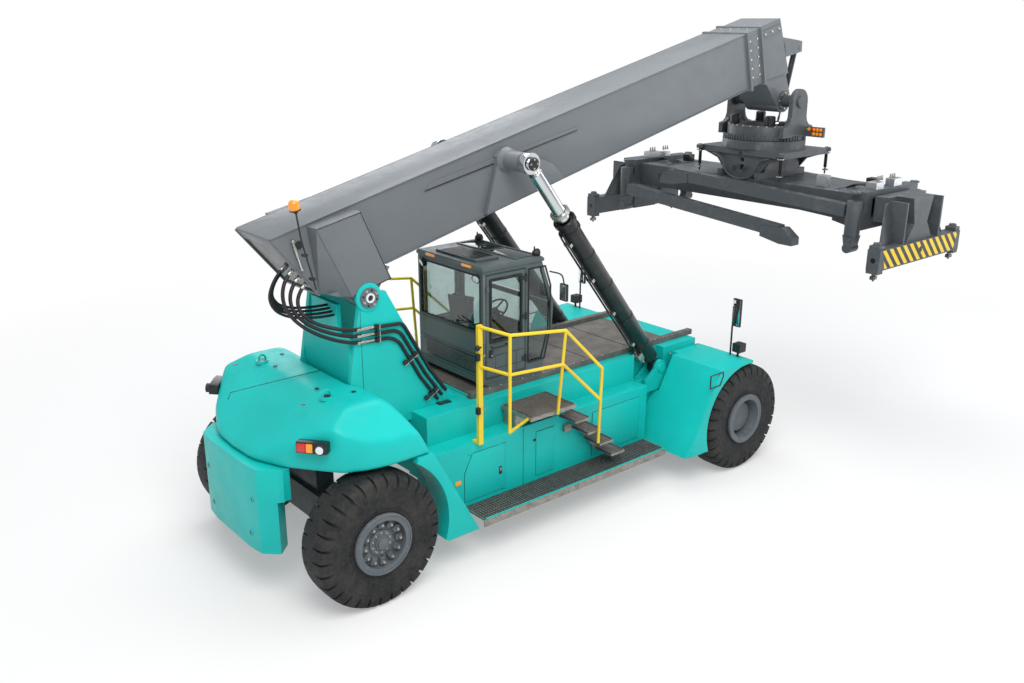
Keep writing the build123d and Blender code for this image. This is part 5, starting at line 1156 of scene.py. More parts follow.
    def head(self):
        """Plates, pin caps and hoses at the head of the sliding boom."""
        shape = Shape()
        cap = [(0.0, 0.0), (0.16, 0.0), (0.155, 0.018), (0.10, 0.022), (0.0, 0.022)]
        cover = [(8.04, 0.86), (8.48, 0.86), (8.50, 0.98), (8.04, 0.98)]
        for hand in HANDS:
            out = Y * hand
            shape.turned(HEAD_PIN + out * 0.33, out, cap, CHARCOAL, 40)
            shape.bolts(ring_points(HEAD_PIN + out * 0.35, out, 0.125, 8), out, ZINC, 0.026)
            shape.prism(on_plane(cover, hand * 0.38), out * 0.012, SLATE, 0.004)
            for s in (8.08, 8.26, 8.44):
                shape.bolt(on_boom(s, hand * 0.392, 0.92), out, 0.032, ZINC)
        hoses, pitch = 5, 0.06
        for k in range(hoses):
            y = -0.12 + pitch * k
            # the hoses spread as they come down over the head
            route = ((8.50, y, 0.95), (8.66, y, 0.93), (8.80, y * 1.3, 0.75), (8.86, y * 1.5, 0.45),
                     (8.80, y * 1.6, 0.10))
            shape.tube(curved([on_boom(*point) for point in route], 6), 0.016, HOSE, sides=8)
        shape.piece("boom_head_fittings", "boom_slide", "grey_paint")


# ---- tower, hood and counterweight ----

TOWER_FACE = 0.615
# the three hoses clamped to the tower's right side
TOWER_HOSE_Y = -0.637
TOWER_HOSE_HEIGHTS = (3.035, 2.955, 2.875)
TOWER_HOSE_PITCH = 0.08
HOOD_TOP = 2.4
# the hood's cover is rebuilt on this grid and smoothed this many times
HOOD_GRID = 24 * MM
HOOD_PASSES = 45
CAST_EDGE = math.radians(9)


class STACKER_OT_tower(bpy.types.Operator):
    """Pivot rings, hose clamps and seams on the boom's tower"""
    bl_idname = "stacker.tower"
    bl_label = "Tower"

    def execute(self, context):
        shape = Shape()
        plate = [(0.0, 0.0), (0.175, 0.0), (0.172, 0.010), (0.16, 0.014), (0.0, 0.014)]
        ring = [(0.034, 0.03), (0.060, 0.03), (0.058, 0.050), (0.036, 0.050)]
        for hand in HANDS:
            out = Y * hand
            seat = BOOM_PIVOT + out * TOWER_FACE
            shape.turned(seat, out, plate, TEAL, 56)
            shape.turned(seat, out, disc(0.125, 0.036, top=0.122, foot=0.012), RIM, 48)
            # a pale ring in the clear lens finish, which glows a little though it is no lamp: a painted
            # highlight
            shape.turned(seat, out, ring, CLEAR, 32)
            shape.turned(seat, out, disc(0.034, 0.038, top=0.033, foot=0.03), BLACK, 24)
            shape.bolts(ring_points(seat + out * 0.036, out, 0.095, 4, 0.5), out, ZINC, 0.030)
            shape.bolts(ring_points(seat + out * 0.036, out, 0.095, 4, 1.28), out, BLACK, 0.020)
            shape.rod(at(0.475, hand * 0.6155, 1.86), at(0.475, hand * 0.6155, 3.3), 0.003, BLACK, sides=6)
        shape.piece("boom_pivot_rings", "chassis", "teal_paint")
        self.clamps()
        return {"FINISHED"}

    def clamps(self):
        """Sleeves, clamps and glands of the three hoses on the tower's right side."""
        shape = Shape()
        y = TOWER_HOSE_Y
        for z in TOWER_HOSE_HEIGHTS:
            shape.rod(at(0.43, y, z + 0.004), at(0.63, y, z - 0.002), 0.0235, ZINC, sides=18, soft=0.002)
            shape.rod(at(0.40, y, z + 0.005), at(0.44, y, z + 0.004), 0.028, ZINC, sides=6, soft=0.002)
            self.clamp(shape, at(0.68, y, z - 0.008), Vector((1, 0, -0.06)))
        for x, z, down in ((1.138, 2.535, Vector((0.36, 0, -0.66))),
                           (1.44, 1.995, Vector((0.25, 0, -0.40)))):
            across = Vector((-down.z, 0, down.x)).normalized()
            for k in (-1, 0, 1):
                self.clamp(shape, at(x, y, z) - across * TOWER_HOSE_PITCH * k, down)
        shape.span([ahead(1.53), ahead(1.72)], (-0.70, -0.60), (1.82, 1.835), BLACK, 0.004)
        shape.piece("tower_hose_clamps", "chassis", "black_plastic")

    def clamp(self, shape, centre, direction):
        """A two-part clamp: black body, bright strap."""
        turn = direction.to_track_quat("X", "Z").to_matrix()
        strap = centre + direction.normalized() * 0.028 - Y * 0.002
        shape.block(centre + Y * -0.004, (0.035, 0.052, 0.062), BLACK, turn, 0.005)
        shape.block(strap, (0.014, 0.056, 0.066), ZINC, turn, 0.003)


class STACKER_OT_hood(bpy.types.Operator):
    """The soft-cornered hood with its eyes and lamps, the counterweight with its plugs, and the fenders"""
    bl_idname = "stacker.hood"
    bl_label = "Hood"

    def execute(self, context):
        self.moulded("counterweight_hood", "hood_cast_shell")
        self.shell("counterweight", "counterweight_cast_block", 0.03)
        self.shell("rear_mudguards", "rear_mudguard_shells", 0.018)
        self.shell("front_fenders", "front_fender_shells", 0.022)
        self.eyes()
        self.lamps()
        self.plugs()
        return {"FINISHED"}

    def eyes(self):
        """Lifting eyes in sunk cups with a black disc of painted shade in each, cover plugs and the seam
        along the hood's middle.
        """
        shape = Shape()
        collar = [(0.05, -0.03), (0.085, -0.03), (0.08, 0.008), (0.055, 0.008)]
        half_circle = [math.pi * i / 10 for i in range(11)]
        for hand in HANDS:
            eye = at(-0.133, hand * 0.809, 2.395)
            shape.turned(eye, Z, collar, TEAL, 32)
            # a black disc in each cup: painted shade
            shape.turned(eye, Z, disc(0.055, 0.006, top=0.054), BLACK, 28)
            loop = [eye + Vector((0.05 * math.cos(a), 0, 0.004 + 0.075 * math.sin(a))) for a in half_circle]
            shape.tube(loop, 0.013, TEAL)
            for x, y in ((0.18, 0.88), (-0.467, 0.87), (-0.10, 0.52)):
                shape.turned(at(x, hand * y, 2.399), Z, disc(0.028, 0.004, top=0.026), BLACK, 20)
        seam = [at(x, 0, HOOD_TOP + rise) for x, rise in ((-0.97, -0.08), (-0.93, -0.001), (-0.6, 0.0025),
                                                          (-0.2, 0.0025), (0.28, 0.0025))]
        shape.tube(seam, 0.004, BLACK, sides=6)
        shape.piece("hood_eyes_and_seams", "chassis", "teal_paint")

    def moulded(self, node, name):
        """A node's own volume again with its creases melted round, as a cast cover has them."""
        copy = bpy.data.objects.new("melting", NODES[node].data.copy())
        bpy.context.scene.collection.objects.link(copy)
        copy.matrix_world = NODES[node].matrix_world.copy()
        grid = copy.modifiers.new("grid", "REMESH")
        grid.mode, grid.voxel_size = "VOXEL", HOOD_GRID
        melt = copy.modifiers.new("melt", "SMOOTH")
        melt.factor, melt.iterations = 0.5, HOOD_PASSES
        less = copy.modifiers.new("less", "DECIMATE")
        less.decimate_type, less.angle_limit = "DISSOLVE", math.radians(0.7)
        data = bpy.data.meshes.new_from_object(copy.evaluated_get(bpy.context.evaluated_depsgraph_get()))
        data.transform(copy.matrix_world)
        bpy.data.objects.remove(copy)
        shape = Shape()
        shape.mesh.from_mesh(data)
        self.cast(shape, node, name)

    def shell(self, node, name, width):
        """A node's own plates again, with the cast piece's broad round corners."""
        shape = Shape()
        shape.mesh.from_mesh(NODES[node].data)
        bmesh.ops.remove_doubles(shape.mesh, verts=shape.mesh.verts, dist=0.1 * MM)
        bmesh.ops.dissolve_limit(shape.mesh, angle_limit=math.radians(1), verts=shape.mesh.verts,
                                 edges=shape.mesh.edges)
        edges = [e for e in shape.mesh.edges if len(e.link_faces) == 2 and e.calc_face_angle(0) > CAST_EDGE]
        bmesh.ops.bevel(shape.mesh, geom=edges, offset=width, segments=5, profile=0.5, affect="EDGES",
                        clamp_overlap=True)
        self.cast(shape, node, name)

    def cast(self, shape, node, name):
        """Hands a rebuilt cover over in the node's place."""
        bmesh.ops.triangulate(shape.mesh, faces=[f for f in shape.mesh.faces if len(f.verts) > 4])
        shape.paint(shape.mesh.faces, TEAL)
        shape.piece(name, "chassis", "teal_paint", [node])

    def lamps(self):
        """Rear lamp groups sunk in black housings."""
        shape = Shape()
        cup = [(0.0, 0.0), (0.058, 0.0), (0.058, 0.05), (0.05, 0.055), (0.0, 0.045)]
        for hand in HANDS:
            spot = at(-0.575, hand * 1.245, 2.045)
            out = Vector((-0.78, hand * 0.62, 0.08)).normalized()
            turn = out.to_track_quat("X", "Z").to_matrix()
            side = turn @ Y
            shape.block(spot, (0.12, 0.36, 0.13), BLACK, turn, 0.012)
            for offset, finish, wide in ((0.115, RED, 0.10), (0.02, AMBER, 0.075)):
                shape.block(spot + out * 0.058 - side * offset, (0.03, wide, 0.10), finish, turn, 0.008)
            lamp = spot + out * 0.05 + side * 0.115
            shape.turned(lamp, out, cup, PLASTIC, 28)
            shape.turned(lamp, out, disc(0.048, 0.058, top=0.044, foot=0.04, crown=0.062), CLEAR, 28)
        shape.piece("rear_lamp_groups", "chassis", "black_plastic")

    def plugs(self):
        """Plugged tie-down holes in the counterweight, whose rear face slants away from its middle."""
        shape = Shape()
        rim = [(0.030, 0.0), (0.044, 0.0), (0.040, 0.009), (0.031, 0.009)]
        for y, z in ((-0.58, 1.30), (-0.50, 0.84), (0.58, 1.30), (0.50, 0.84)):
            x = -1.047 + (0.032 * (abs(y) - 0.45) / 0.25)
            seat = at(x - 0.010, y, z)
            shape.turned(seat, X * -1, disc(0.030, 0.006, top=0.028), BLACK, 20)
            shape.turned(seat, X * -1, rim, TEAL, 24)
        shape.piece("counterweight_plugs", "chassis", "teal_paint")


# ---- side lockers, boards and steps ----

LOCKER_Y = 1.24
LOCKER_LOW, LOCKER_HIGH = 0.67, 1.31
BOARD_TOP = 0.6
# the boarding platform's two ends forward, its two edges outward and its height; the steps go down from it
PLATFORM = (2.35, 3.10, 0.98, 1.54, 1.70)
STEP_COUNT = 4
STEP_RUN, STEP_RISE = 0.235, 0.225
TREAD_PITCH = 0.034


class STACKER_OT_sides(bpy.types.Operator):
    """Locker doors, latches, markers, anti-slip boards and step gratings"""
    bl_idname = "stacker.sides"
    bl_label = "Sides"

    def execute(self, context):
        shape = Shape()
        doors = [[(1.50, LOCKER_LOW), (2.16, LOCKER_LOW), (2.16, LOCKER_HIGH), (1.63, LOCKER_HIGH),
                  (1.50, 1.06)]]
        doors += [[(x0, LOCKER_LOW), (x1, LOCKER_LOW), (x1, LOCKER_HIGH), (x0, LOCKER_HIGH)]
                  for x0, x1 in ((2.70, 3.02), (3.75, 4.70))]
        for hand in HANDS:
            y = hand * LOCKER_Y
            for door in doors:
                self.door(shape, door, y, hand)
            shape.rod(at(2.477, y, 0.61), at(2.477, y, 1.42), 0.004, BLACK, sides=6)
            for x, z in ((2.08, 0.95), (3.84, 0.95)):
                shape.block(at(x, y + hand * 0.006, z), (0.05, 0.016, 0.11), BLACK)
                shape.block(at(x, y + hand * 0.014, z + 0.01), (0.022, 0.012, 0.05), ZINC, soft=0.003)
            for x in (2.72, 4.10):
                shape.block(at(x, y, 1.20), (0.14, 0.008, 0.035), BLACK, soft=0.003)
            marker = at(1.397, y, 0.967)
            shape.block(marker + Y * hand * 0.006, (0.09, 0.014, 0.055), AMBER, soft=0.005)
            for x in (1.56, 2.05):
                hinge = at(x, y + hand * 0.006, 1.312)
                shape.rod(hinge, at(x + 0.07, y + hand * 0.006, 1.312), 0.009, TEAL, sides=12)
        shape.piece("locker_doors_and_latches", "chassis", "teal_paint")
        self.boards()
        self.treads()
        return {"FINISHED"}

    def door(self, shape, points, y, hand):
        """A door skin standing a little proud, with the dark gap round it."""
        skin = [at(x, y, z) for x, z in points]
        middle = sum(skin, Vector()) / len(skin)
        gap = [middle + (p - middle) * 1.018 for p in skin]
        shape.prism(gap, Y * hand * 0.002, BLACK, 0)
        shape.prism(skin, Y * hand * 0.009, TEAL, 0.003)

    def boards(self):
        """Anti-slip gratings on both running boards."""
        shape = Shape()
        pitch = sizes().grate_pitch
        start, end = ahead(1.52), ahead(4.82)
        lengthways = 8
        for hand in HANDS:
            inner, outer = hand * 1.25, hand * 1.655
            for i in range(int((end - start) / pitch) + 1):
                x = start + i * pitch
                shape.span((x, x + 0.006), (inner, outer), (BOARD_TOP, 0.612), CHARCOAL, 0)
            for k in range(lengthways):
                y = inner + (outer - inner) * k / (lengthways - 1)
                shape.span((start, end), (y - 0.002, y + 0.002), (BOARD_TOP, 0.609), CHARCOAL, 0)
            edge = (outer, outer + hand * 0.02)
            shape.span((start - 0.01, end + 0.01), edge, (0.585, 0.618), TEAL, 0.003)
        shape.piece("running_board_gratings", "chassis", "deck_steel")

    def treads(self):
        """Serrated bars and nosings on the boarding steps and platforms."""
        shape = Shape()
        levels = [PLATFORM]
        levels += [(3.06 + STEP_RUN * i, 3.32 + STEP_RUN * i, 1.305, 1.605, 1.70 - STEP_RISE * (i + 1))
                   for i in range(STEP_COUNT)]
        for hand in HANDS:
            for x0, x1, y0, y1, z in levels:
                bars = int((y1 - y0) / TREAD_PITCH)
                run = (ahead(x0 + 0.01), ahead(x1 - 0.01))
                for k in range(bars + 1):
                    y = hand * (y0 + (y1 - y0) * k / bars)
                    shape.span(run, (y - 0.0025, y + 0.0025), (z, z + 0.011), DECK, 0)
                for x in (x0, x1 - 0.022):
                    nosing = (ahead(x), ahead(x + 0.022))
                    shape.span(nosing, (hand * y0, hand * y1), (z - 0.02, z + 0.014), CHARCOAL, 0.003)
        shape.piece("step_treads", "chassis", "deck_steel")


# ---- cab ----

CAB_SIDE = 0.715
CAB_REAR = 2.23
CAB_ROOF = 3.52
DOOR_SKIN = 0.7185
DOOR_HINGE = 2.958
GASKET = 0.013


class STACKER_OT_cab(bpy.types.Operator):
    """Window gaskets, lamps, markers, wiper, mirrors, roof and seams of the cab, and its doors' fittings"""
    bl_idname = "stacker.cab"
    bl_label = "Cab"

    def execute(self, context):
        shape = Shape()
        rear_window = [at(CAB_REAR, y, z) for y, z in ((-0.66, 2.64), (0.66, 2.64), (0.66, 3.39),
                                                       (-0.66, 3.39))]
        shape.loop_of_rods(rear_window, GASKET, PLASTIC, balls=True)
        for hand in HANDS:
            self.side(shape, hand)
        self.rear(shape)
        self.roof(shape)
        shape.piece("cab_trim", "cab", "cab_paint")
        for name, hand in SIDES:
            self.door(name, hand)
        return {"FINISHED"}

    def side(self, shape, hand):
        """One side's front quarter window, door seam, guard strip, lamps, marker and mirror."""
        y = hand * CAB_SIDE
        window = [at(x, y, z) for x, z in ((3.005, 2.08), (3.30, 2.08), (3.40, 2.5), (3.40, 3.1),
                                           (3.30, 3.38), (3.005, 3.38))]
        shape.loop_of_rods(window, GASKET, PLASTIC, balls=True)
        seam = [at(x, y, z) for x, z in ((2.272, 2.0), (2.958, 2.0), (2.958, 3.41), (2.272, 3.41))]
        shape.loop_of_rods(seam, 0.005, BLACK, sides=6)
        shape.span((ahead(2.232), ahead(2.268)), (y, y + hand * 0.006), (2.5, 3.42), RIM, 0.003)
        self.lamp(shape, at(2.225, hand * 0.60, 3.36), Vector((-0.9, hand * 0.2, -0.35)))
        self.lamp(shape, at(3.22, hand * 0.62, 3.55), Vector((0.95, hand * 0.15, -0.12)))
        marker = (hand * 0.30, hand * 0.50)
        shape.span((ahead(2.206), ahead(2.216)), marker, (3.472, 3.508), AMBER, 0.003)
        arm = [at(x, hand * y, z) for x, y, z in ((3.36, 0.735, 3.30), (3.46, 0.86, 3.26),
                                                  (3.48, 0.90, 3.14))]
        shape.tube(curved(arm, 5), 0.010, BLACK)
        shape.block(at(3.48, hand * 0.90, 3.02), (0.045, 0.14, 0.24), PLASTIC, soft=0.016)
        shape.block(at(3.457, hand * 0.90, 3.02), (0.006, 0.12, 0.215), MIRROR, soft=0.002)

    def rear(self, shape):
        """The rear wall's seams, louvred air outlet with a black sheet of painted shade behind its louvres,
        and wiper.
        """
        for z in (2.02, 2.32, 2.60):
            shape.rod(at(CAB_REAR, -0.70, z), at(CAB_REAR, 0.70, z), 0.004, BLACK, sides=6)
        # a black sheet behind the louvres: painted shade inside the outlet
        shape.span((ahead(2.222), ahead(2.232)), (-0.60, 0.60), (2.06, 2.29), BLACK)
        louvres, pitch = 9, 0.022
        for k in range(louvres):
            z = 2.085 + pitch * k
            shape.span((ahead(2.214), ahead(2.224)), (-0.56, 0.56), (z, z + 0.007), CAB, 0.002)
        hub = at(2.215, -0.10, 2.665)
        shape.rod(hub, hub - X * 0.03, 0.022, PLASTIC, sides=18, soft=0.003)
        shape.rod(hub - X * 0.02, hub + Vector((-0.012, -0.30, 0.06)), 0.007, BLACK, sides=8)
        blade = [hub + Vector((-0.006, y, z)) for y, z in ((-0.44, 0.03), (-0.10, 0.10))]
        shape.rod(*blade, 0.008, BLACK, sides=8)

    def lamp(self, shape, spot, out):
        """A round work lamp with a black body and a clear lens."""
        out = out.normalized()
        body = [(0.0, -0.055), (0.03, -0.05), (0.055, -0.02), (0.064, 0.01), (0.062, 0.028), (0.054, 0.026),
                (0.0, 0.016)]
        shape.turned(spot, out, body, PLASTIC, 28)
        shape.turned(spot, out, disc(0.053, 0.03, top=0.048, foot=0.012, crown=0.036), CLEAR, 28)
        shape.rod(spot - out * 0.03 + Z * 0.02, spot - out * 0.03 + Z * 0.09, 0.010, BLACK, sides=8)

    def roof(self, shape):
        """Roof glass over the driver, its frame, and an air inlet whose slots are black strips of painted
        shade.
        """
        shape.span((ahead(2.86), ahead(3.20)), (-0.60, 0.60), (CAB_ROOF, 3.526), GLASS, 0.002)
        for x in (2.84, 3.205):
            shape.span((ahead(x), ahead(x + 0.03)), (-0.64, 0.64), (CAB_ROOF, 3.534), CAB, 0.003)
        for y in (-0.62, -0.008, 0.604):
            shape.span((ahead(2.86), ahead(3.21)), (y, y + 0.016), (CAB_ROOF, 3.533), CAB, 0.003)
        shape.span((ahead(2.34), ahead(2.72)), (-0.45, 0.45), (CAB_ROOF, 3.55), CAB, 0.012)
        # the inlet's slots are thin black strips laid on top: painted shade
        slots, pitch = 12, 0.028
        for k in range(slots):
            x = ahead(2.37 + pitch * k)
            shape.span((x, x + 0.011), (-0.36, 0.36), (3.55, 3.556), BLACK, 0)

    def door(self, name, hand):
        """One door's window frame, grab handle, latch, hinges and pressed seams."""
        shape = Shape()
        y = hand * DOOR_SKIN
        window = [at(x, y, z) for x, z in ((2.355, 2.5), (2.875, 2.5), (2.875, 3.33), (2.355, 3.33))]
        shape.loop_of_rods(window, 0.020, BLACK, balls=True)
        grip = [at(x, y + hand * out, 2.43) for x, out in ((2.37, 0), (2.38, 0.045), (2.60, 0.045),
                                                           (2.61, 0))]
        shape.tube(curved(grip, 5), 0.011, BLACK)
        shape.block(at(2.36, y + hand * 0.008, 2.34), (0.06, 0.02, 0.10), BLACK, soft=0.006)
        shape.rod(at(2.36, y + hand * 0.015, 2.32), at(2.36, y + hand * 0.024, 2.32), 0.012, ZINC, sides=18)
        sunk = y - hand * 0.0035
        for z in (2.30, 2.12):
            shape.rod(at(2.31, sunk, z), at(2.92, sunk, z), 0.004, BLACK, sides=6)
        for x in (2.44, 2.62, 2.80):
            shape.rod(at(x, sunk, 2.03), at(x, sunk, 2.30), 0.003, BLACK, sides=6)
        for z in (2.16, 2.75, 3.28):
            pin = at(DOOR_HINGE, y, z - 0.05)
            shape.rod(pin, at(DOOR_HINGE, y, z + 0.05), 0.016, BLACK, sides=16, soft=0.003)
            shape.block(at(2.925, y, z), (0.06, 0.008, 0.06), BLACK, soft=0.003)
        shape.piece("door_fittings_" + name, "door_" + name, "cab_paint")


# ---- seat ----

# the pad and the backrest within the cushions' box: where they part, and the gap to the box's sides
PAD_HEIGHT, PAD_REAR = 0.095, 0.095
BACK_FOOT, BACK_THICK, BACK_SIDE = 0.112, 0.151, 0.015
PAD_INSET = 0.014
PAD_CLEAR = 0.002
PAD_GRID = 10 * MM
CLOTH_FRAMES = 15
CLOTH_PRESSURE = 4
CHANNELS = (-0.11, 0.11)
CHANNEL_DEPTH, CHANNEL_WIDTH = 0.008, 0.010


class STACKER_OT_seat(bpy.types.Operator):
    """The seat's cushion and backrest, swollen in a cloth simulation and stitched in channels"""
    bl_idname = "stacker.seat"
    bl_label = "Seat"

    def execute(self, context):
        low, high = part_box("seat_cushions")
        self.pad("seat_pad", Vector((low.x + PAD_REAR, low.y, low.z)),
                 Vector((high.x, high.y, low.z + PAD_HEIGHT)), 2)
        self.pad("seat_backrest", Vector((low.x, low.y + BACK_SIDE, low.z + BACK_FOOT)),
                 Vector((low.x + BACK_THICK, high.y - BACK_SIDE, high.z)), 0)
        return {"FINISHED"}

    def pad(self, name, low, high, thin):
        """A pad made small, blown up as cloth and held in its solid's space; thin is its thin axis."""
        shape = Shape()
        sides = [(a + PAD_INSET, b - PAD_INSET) for a, b in zip(low, high)]
        shape.span(*sides, CLOTH, 0.018)
        data = bpy.data.meshes.new(name)
        shape.mesh.to_mesh(data)
        shape.mesh.free()
        made = bpy.data.objects.new(name, data)
        bpy.context.scene.collection.objects.link(made)
        grid = made.modifiers.new("grid", "REMESH")
        grid.mode, grid.voxel_size = "VOXEL", PAD_GRID
        self.settle(made)
        self.swell(made)
        middle = (low[thin] + high[thin]) / 2
        for vertex in made.data.vertices:
            vertex.co = Vector((min(max(c, a + PAD_CLEAR), b - PAD_CLEAR)
                                for c, a, b in zip(vertex.co, low, high)))
            for channel in CHANNELS:
                depth = CHANNEL_DEPTH * math.exp(-((vertex.co.y - channel) / CHANNEL_WIDTH) ** 2)
                vertex.co[thin] += depth * (-1 if vertex.co[thin] > middle else 1)
        made.data.materials.clear()
        made.data.materials.append(MATERIALS[CLOTH])
        for polygon in made.data.polygons:
            polygon.use_smooth = True
            polygon.material_index = 0
        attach(made, "cab")
        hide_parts("seat_cushions")

    def settle(self, made):
        """Turns what the modifiers show now into the object's own mesh."""
        shown = made.evaluated_get(bpy.context.evaluated_depsgraph_get())
        data = bpy.data.meshes.new_from_object(shown)
        made.modifiers.clear()
        made.data = data

    def swell(self, made):
        """Blows the pad up as cloth, without gravity, for a few frames."""
        cloth = made.modifiers.new("cloth", "CLOTH")
        cloth.settings.use_pressure = True
        cloth.settings.uniform_pressure_force = CLOTH_PRESSURE
        cloth.settings.effector_weights.gravity = 0
        for step in range(CLOTH_FRAMES):
            bpy.context.scene.frame_set(step + 1)
        self.settle(made)
        bpy.context.scene.frame_set(1)


# ---- rails, fenders and deck ----

DECK_TOP = 1.82


class STACKER_OT_rails(bpy.types.Operator):
    """Brackets and knobs on the handrails, the fenders' fittings, and the deck's joints and screws"""
    bl_idname = "stacker.rails"
    bl_label = "Rails"

    def execute(self, context):
        shape = Shape()
        for hand in HANDS:
            for z in (2.62, 1.92):
                post = at(1.70, hand * 1.355, z)
                shape.block(post - X * 0.06, (0.05, 0.05, 0.09), BLACK, soft=0.006)
                shape.bolt(post + X * 0.036, X, 0.024, ZINC)
            knob = at(1.63, hand * 1.36, 2.74)
            shape.ball(knob, 0.036, BLACK)
            shape.rod(knob, knob + X * 0.06, 0.012, BLACK, sides=10)
            shape.tube([at(1.735, hand * 1.32, 2.97), at(1.735, hand * 1.32, 2.0)], 0.006, BLACK)
        shape.piece("handrail_fittings", "chassis", "yellow_paint")
        self.front()
        self.deck()
        return {"FINISHED"}

    def front(self):
        """Mirror glasses and clamps, and the front fenders' lamps, windows, markers and bolts."""
        shape = Shape()
        for hand in HANDS:
            shape.block(at(6.293, hand * 1.655, 2.37), (0.006, 0.13, 0.39), MIRROR, soft=0.002)
            for z in (2.20, 2.5):
                shape.block(at(6.285, hand * 1.645, z), (0.03, 0.05, 0.03), BLACK)
            lamp = disc(0.055, 0.012, top=0.052, crown=0.016)
            shape.turned(at(6.37, hand * 1.76, 1.86), X, lamp, CLEAR, 28)
            window = [at(x, hand * 2.011, z) for x, z in ((5.34, 1.50), (5.56, 1.50), (5.62, 1.62),
                                                          (5.62, 1.69), (5.34, 1.69))]
            shape.loop_of_rods(window, 0.010, BLACK)
            marker = (hand * 1.25, hand * 1.75)
            shape.span((ahead(6.318), ahead(6.326)), marker, (1.30, 1.36), AMBER, 0.003)
            for x in (5.0, 5.6, 6.2):
                shape.bolt(at(x, hand * 1.02, 1.72), Z, 0.03, ZINC)
        shape.piece("front_fender_fittings", "chassis", "black_plastic")

    def deck(self):
        """Plate joints on the deck between the boom's feet, its screws, and bolts along the cab's rails."""
        shape = Shape()
        for x in (2.0, 2.75, 3.5, 4.25, 5.0):
            for hand in HANDS:
                inner, outer = [at(x, hand * y, DECK_TOP + 0.0015) for y in (0.05, 0.72)]
                shape.rod(inner, outer, 0.004, BLACK, sides=6)
        screw = disc(0.011, 0.005, top=0.008)
        for hand in HANDS:
            for k in range(14):
                shape.turned(at(1.95 + 0.32 * k, hand * 0.69, DECK_TOP), Z, screw, ZINC, 12)
            for k in range(24):
                shape.bolt(at(1.9 + 0.19 * k, hand * 0.785, 1.90), Z, 0.018, ZINC)
        shape.piece("deck_joints_and_screws", "chassis", "deck_steel")


# ---- lift cylinders ----

LIFT_Y = 0.93
LIFT_FOOT = at(5.36, 0, 1.56)
BARREL_LENGTH = 3.10
BARREL_RADIUS = 0.129


class STACKER_OT_lift_cylinders(bpy.types.Operator):
    """Head rings, bands, pipes and port blocks of the lift cylinders, and the caps on their rods' pins"""
    bl_idname = "stacker.lift_cylinders"
    bl_label = "Lift cylinders"

    def execute(self, context):
        pin = on_boom(LIFT_PIN[0], 0, LIFT_PIN[1])
        run = (pin - LIFT_FOOT).normalized()
        self.barrels(run)
        self.rods(pin)
        return {"FINISHED"}

    def barrels(self, run):
        """The rings, pipes and blocks on both barrels; the pipes lie on the side that faces back."""
        shape = Shape()
        back = Vector((-run.z, 0, run.x))
        turn = run.to_track_quat("X", "Z").to_matrix()
        # a pipe's way: its distance from the foot along the barrel and from its axis
        route = ((0.42, 0.17), (0.52, 0.165), (1.8, 0.165), (2.9, 0.165), (3.02, 0.125))
        for hand in HANDS:
            base = LIFT_FOOT + Y * hand * LIFT_Y
            head = base + run * BARREL_LENGTH
            for start, wide, deep in ((-0.02, 0.158, 0.05), (-0.16, 0.150, 0.04)):
                shape.turned(head + run * start, run, band(0.130, wide, deep), BLACK, 40)
            shape.turned(head + run * 0.13, run, band(0.095, 0.134, 0.045), ZINC, 40)
            shape.bolts(ring_points(head + run * 0.162, run, 0.112, 10), run, ZINC, 0.026)
            for offset in (-0.035, 0.035):
                pipe = [base + run * along + back * off + Y * offset for along, off in route]
                shape.tube(curved(pipe, 4), 0.014, BLACK)
            for along in (0.7, 1.4, 2.1, 2.8):
                shape.block(base + run * along + back * 0.150, (0.05, 0.13, 0.05), ZINC, turn, 0.005)
            shape.block(base + run * 0.40 + back * 0.16, (0.13, 0.14, 0.10), ZINC, turn, 0.008)
            for along in (0.53, 1.15, 1.85, 2.45):
                shape.turned(base + run * along, run, band(BARREL_RADIUS, 0.134, 0.03), BLACK, 36)
        shape.piece("lift_barrel_fittings", "lift_barrels", "black_paint")

    def rods(self, pin):
        """A domed cap with four bolts on each end of both rods' pins."""
        shape = Shape()
        cap = [(0.0, 0.0), (0.085, 0.0), (0.08, 0.012), (0.03, 0.016), (0.0, 0.016)]
        for hand in HANDS:
            eye = pin + Y * hand * LIFT_Y
            for out in (Y, Y * -1):
                shape.turned(eye + out * 0.088, out, cap, BLACK, 32)
                shape.bolts(ring_points(eye + out * 0.1, out, 0.055, 4), out, ZINC, 0.022)
        shape.piece("lift_rod_caps", "lift_rods", "black_paint")


# ---- spreader ----

# the lamp bar on the yoke: its two faces, the first lamp of each group, and the lamps' spacing
LAMP_FACES = ((0.302, X), (0.248, X * -1))
SIGNAL_Y, TURN_Y, LAMP_Z = -0.64, -0.80, 4.80
LAMP_PITCH, LAMP_DROP = 0.065, 0.072
GEAR_TEETH = 72
GEAR_RADIUS = 0.672
# the twistlocks' places on the end beams, the beams' outer faces and the corner housings' tops
CORNER_X, CORNER_Y = 1.1295, 2.9265
BEAM_END = 3.0265
BEAM_TOP = 3.40


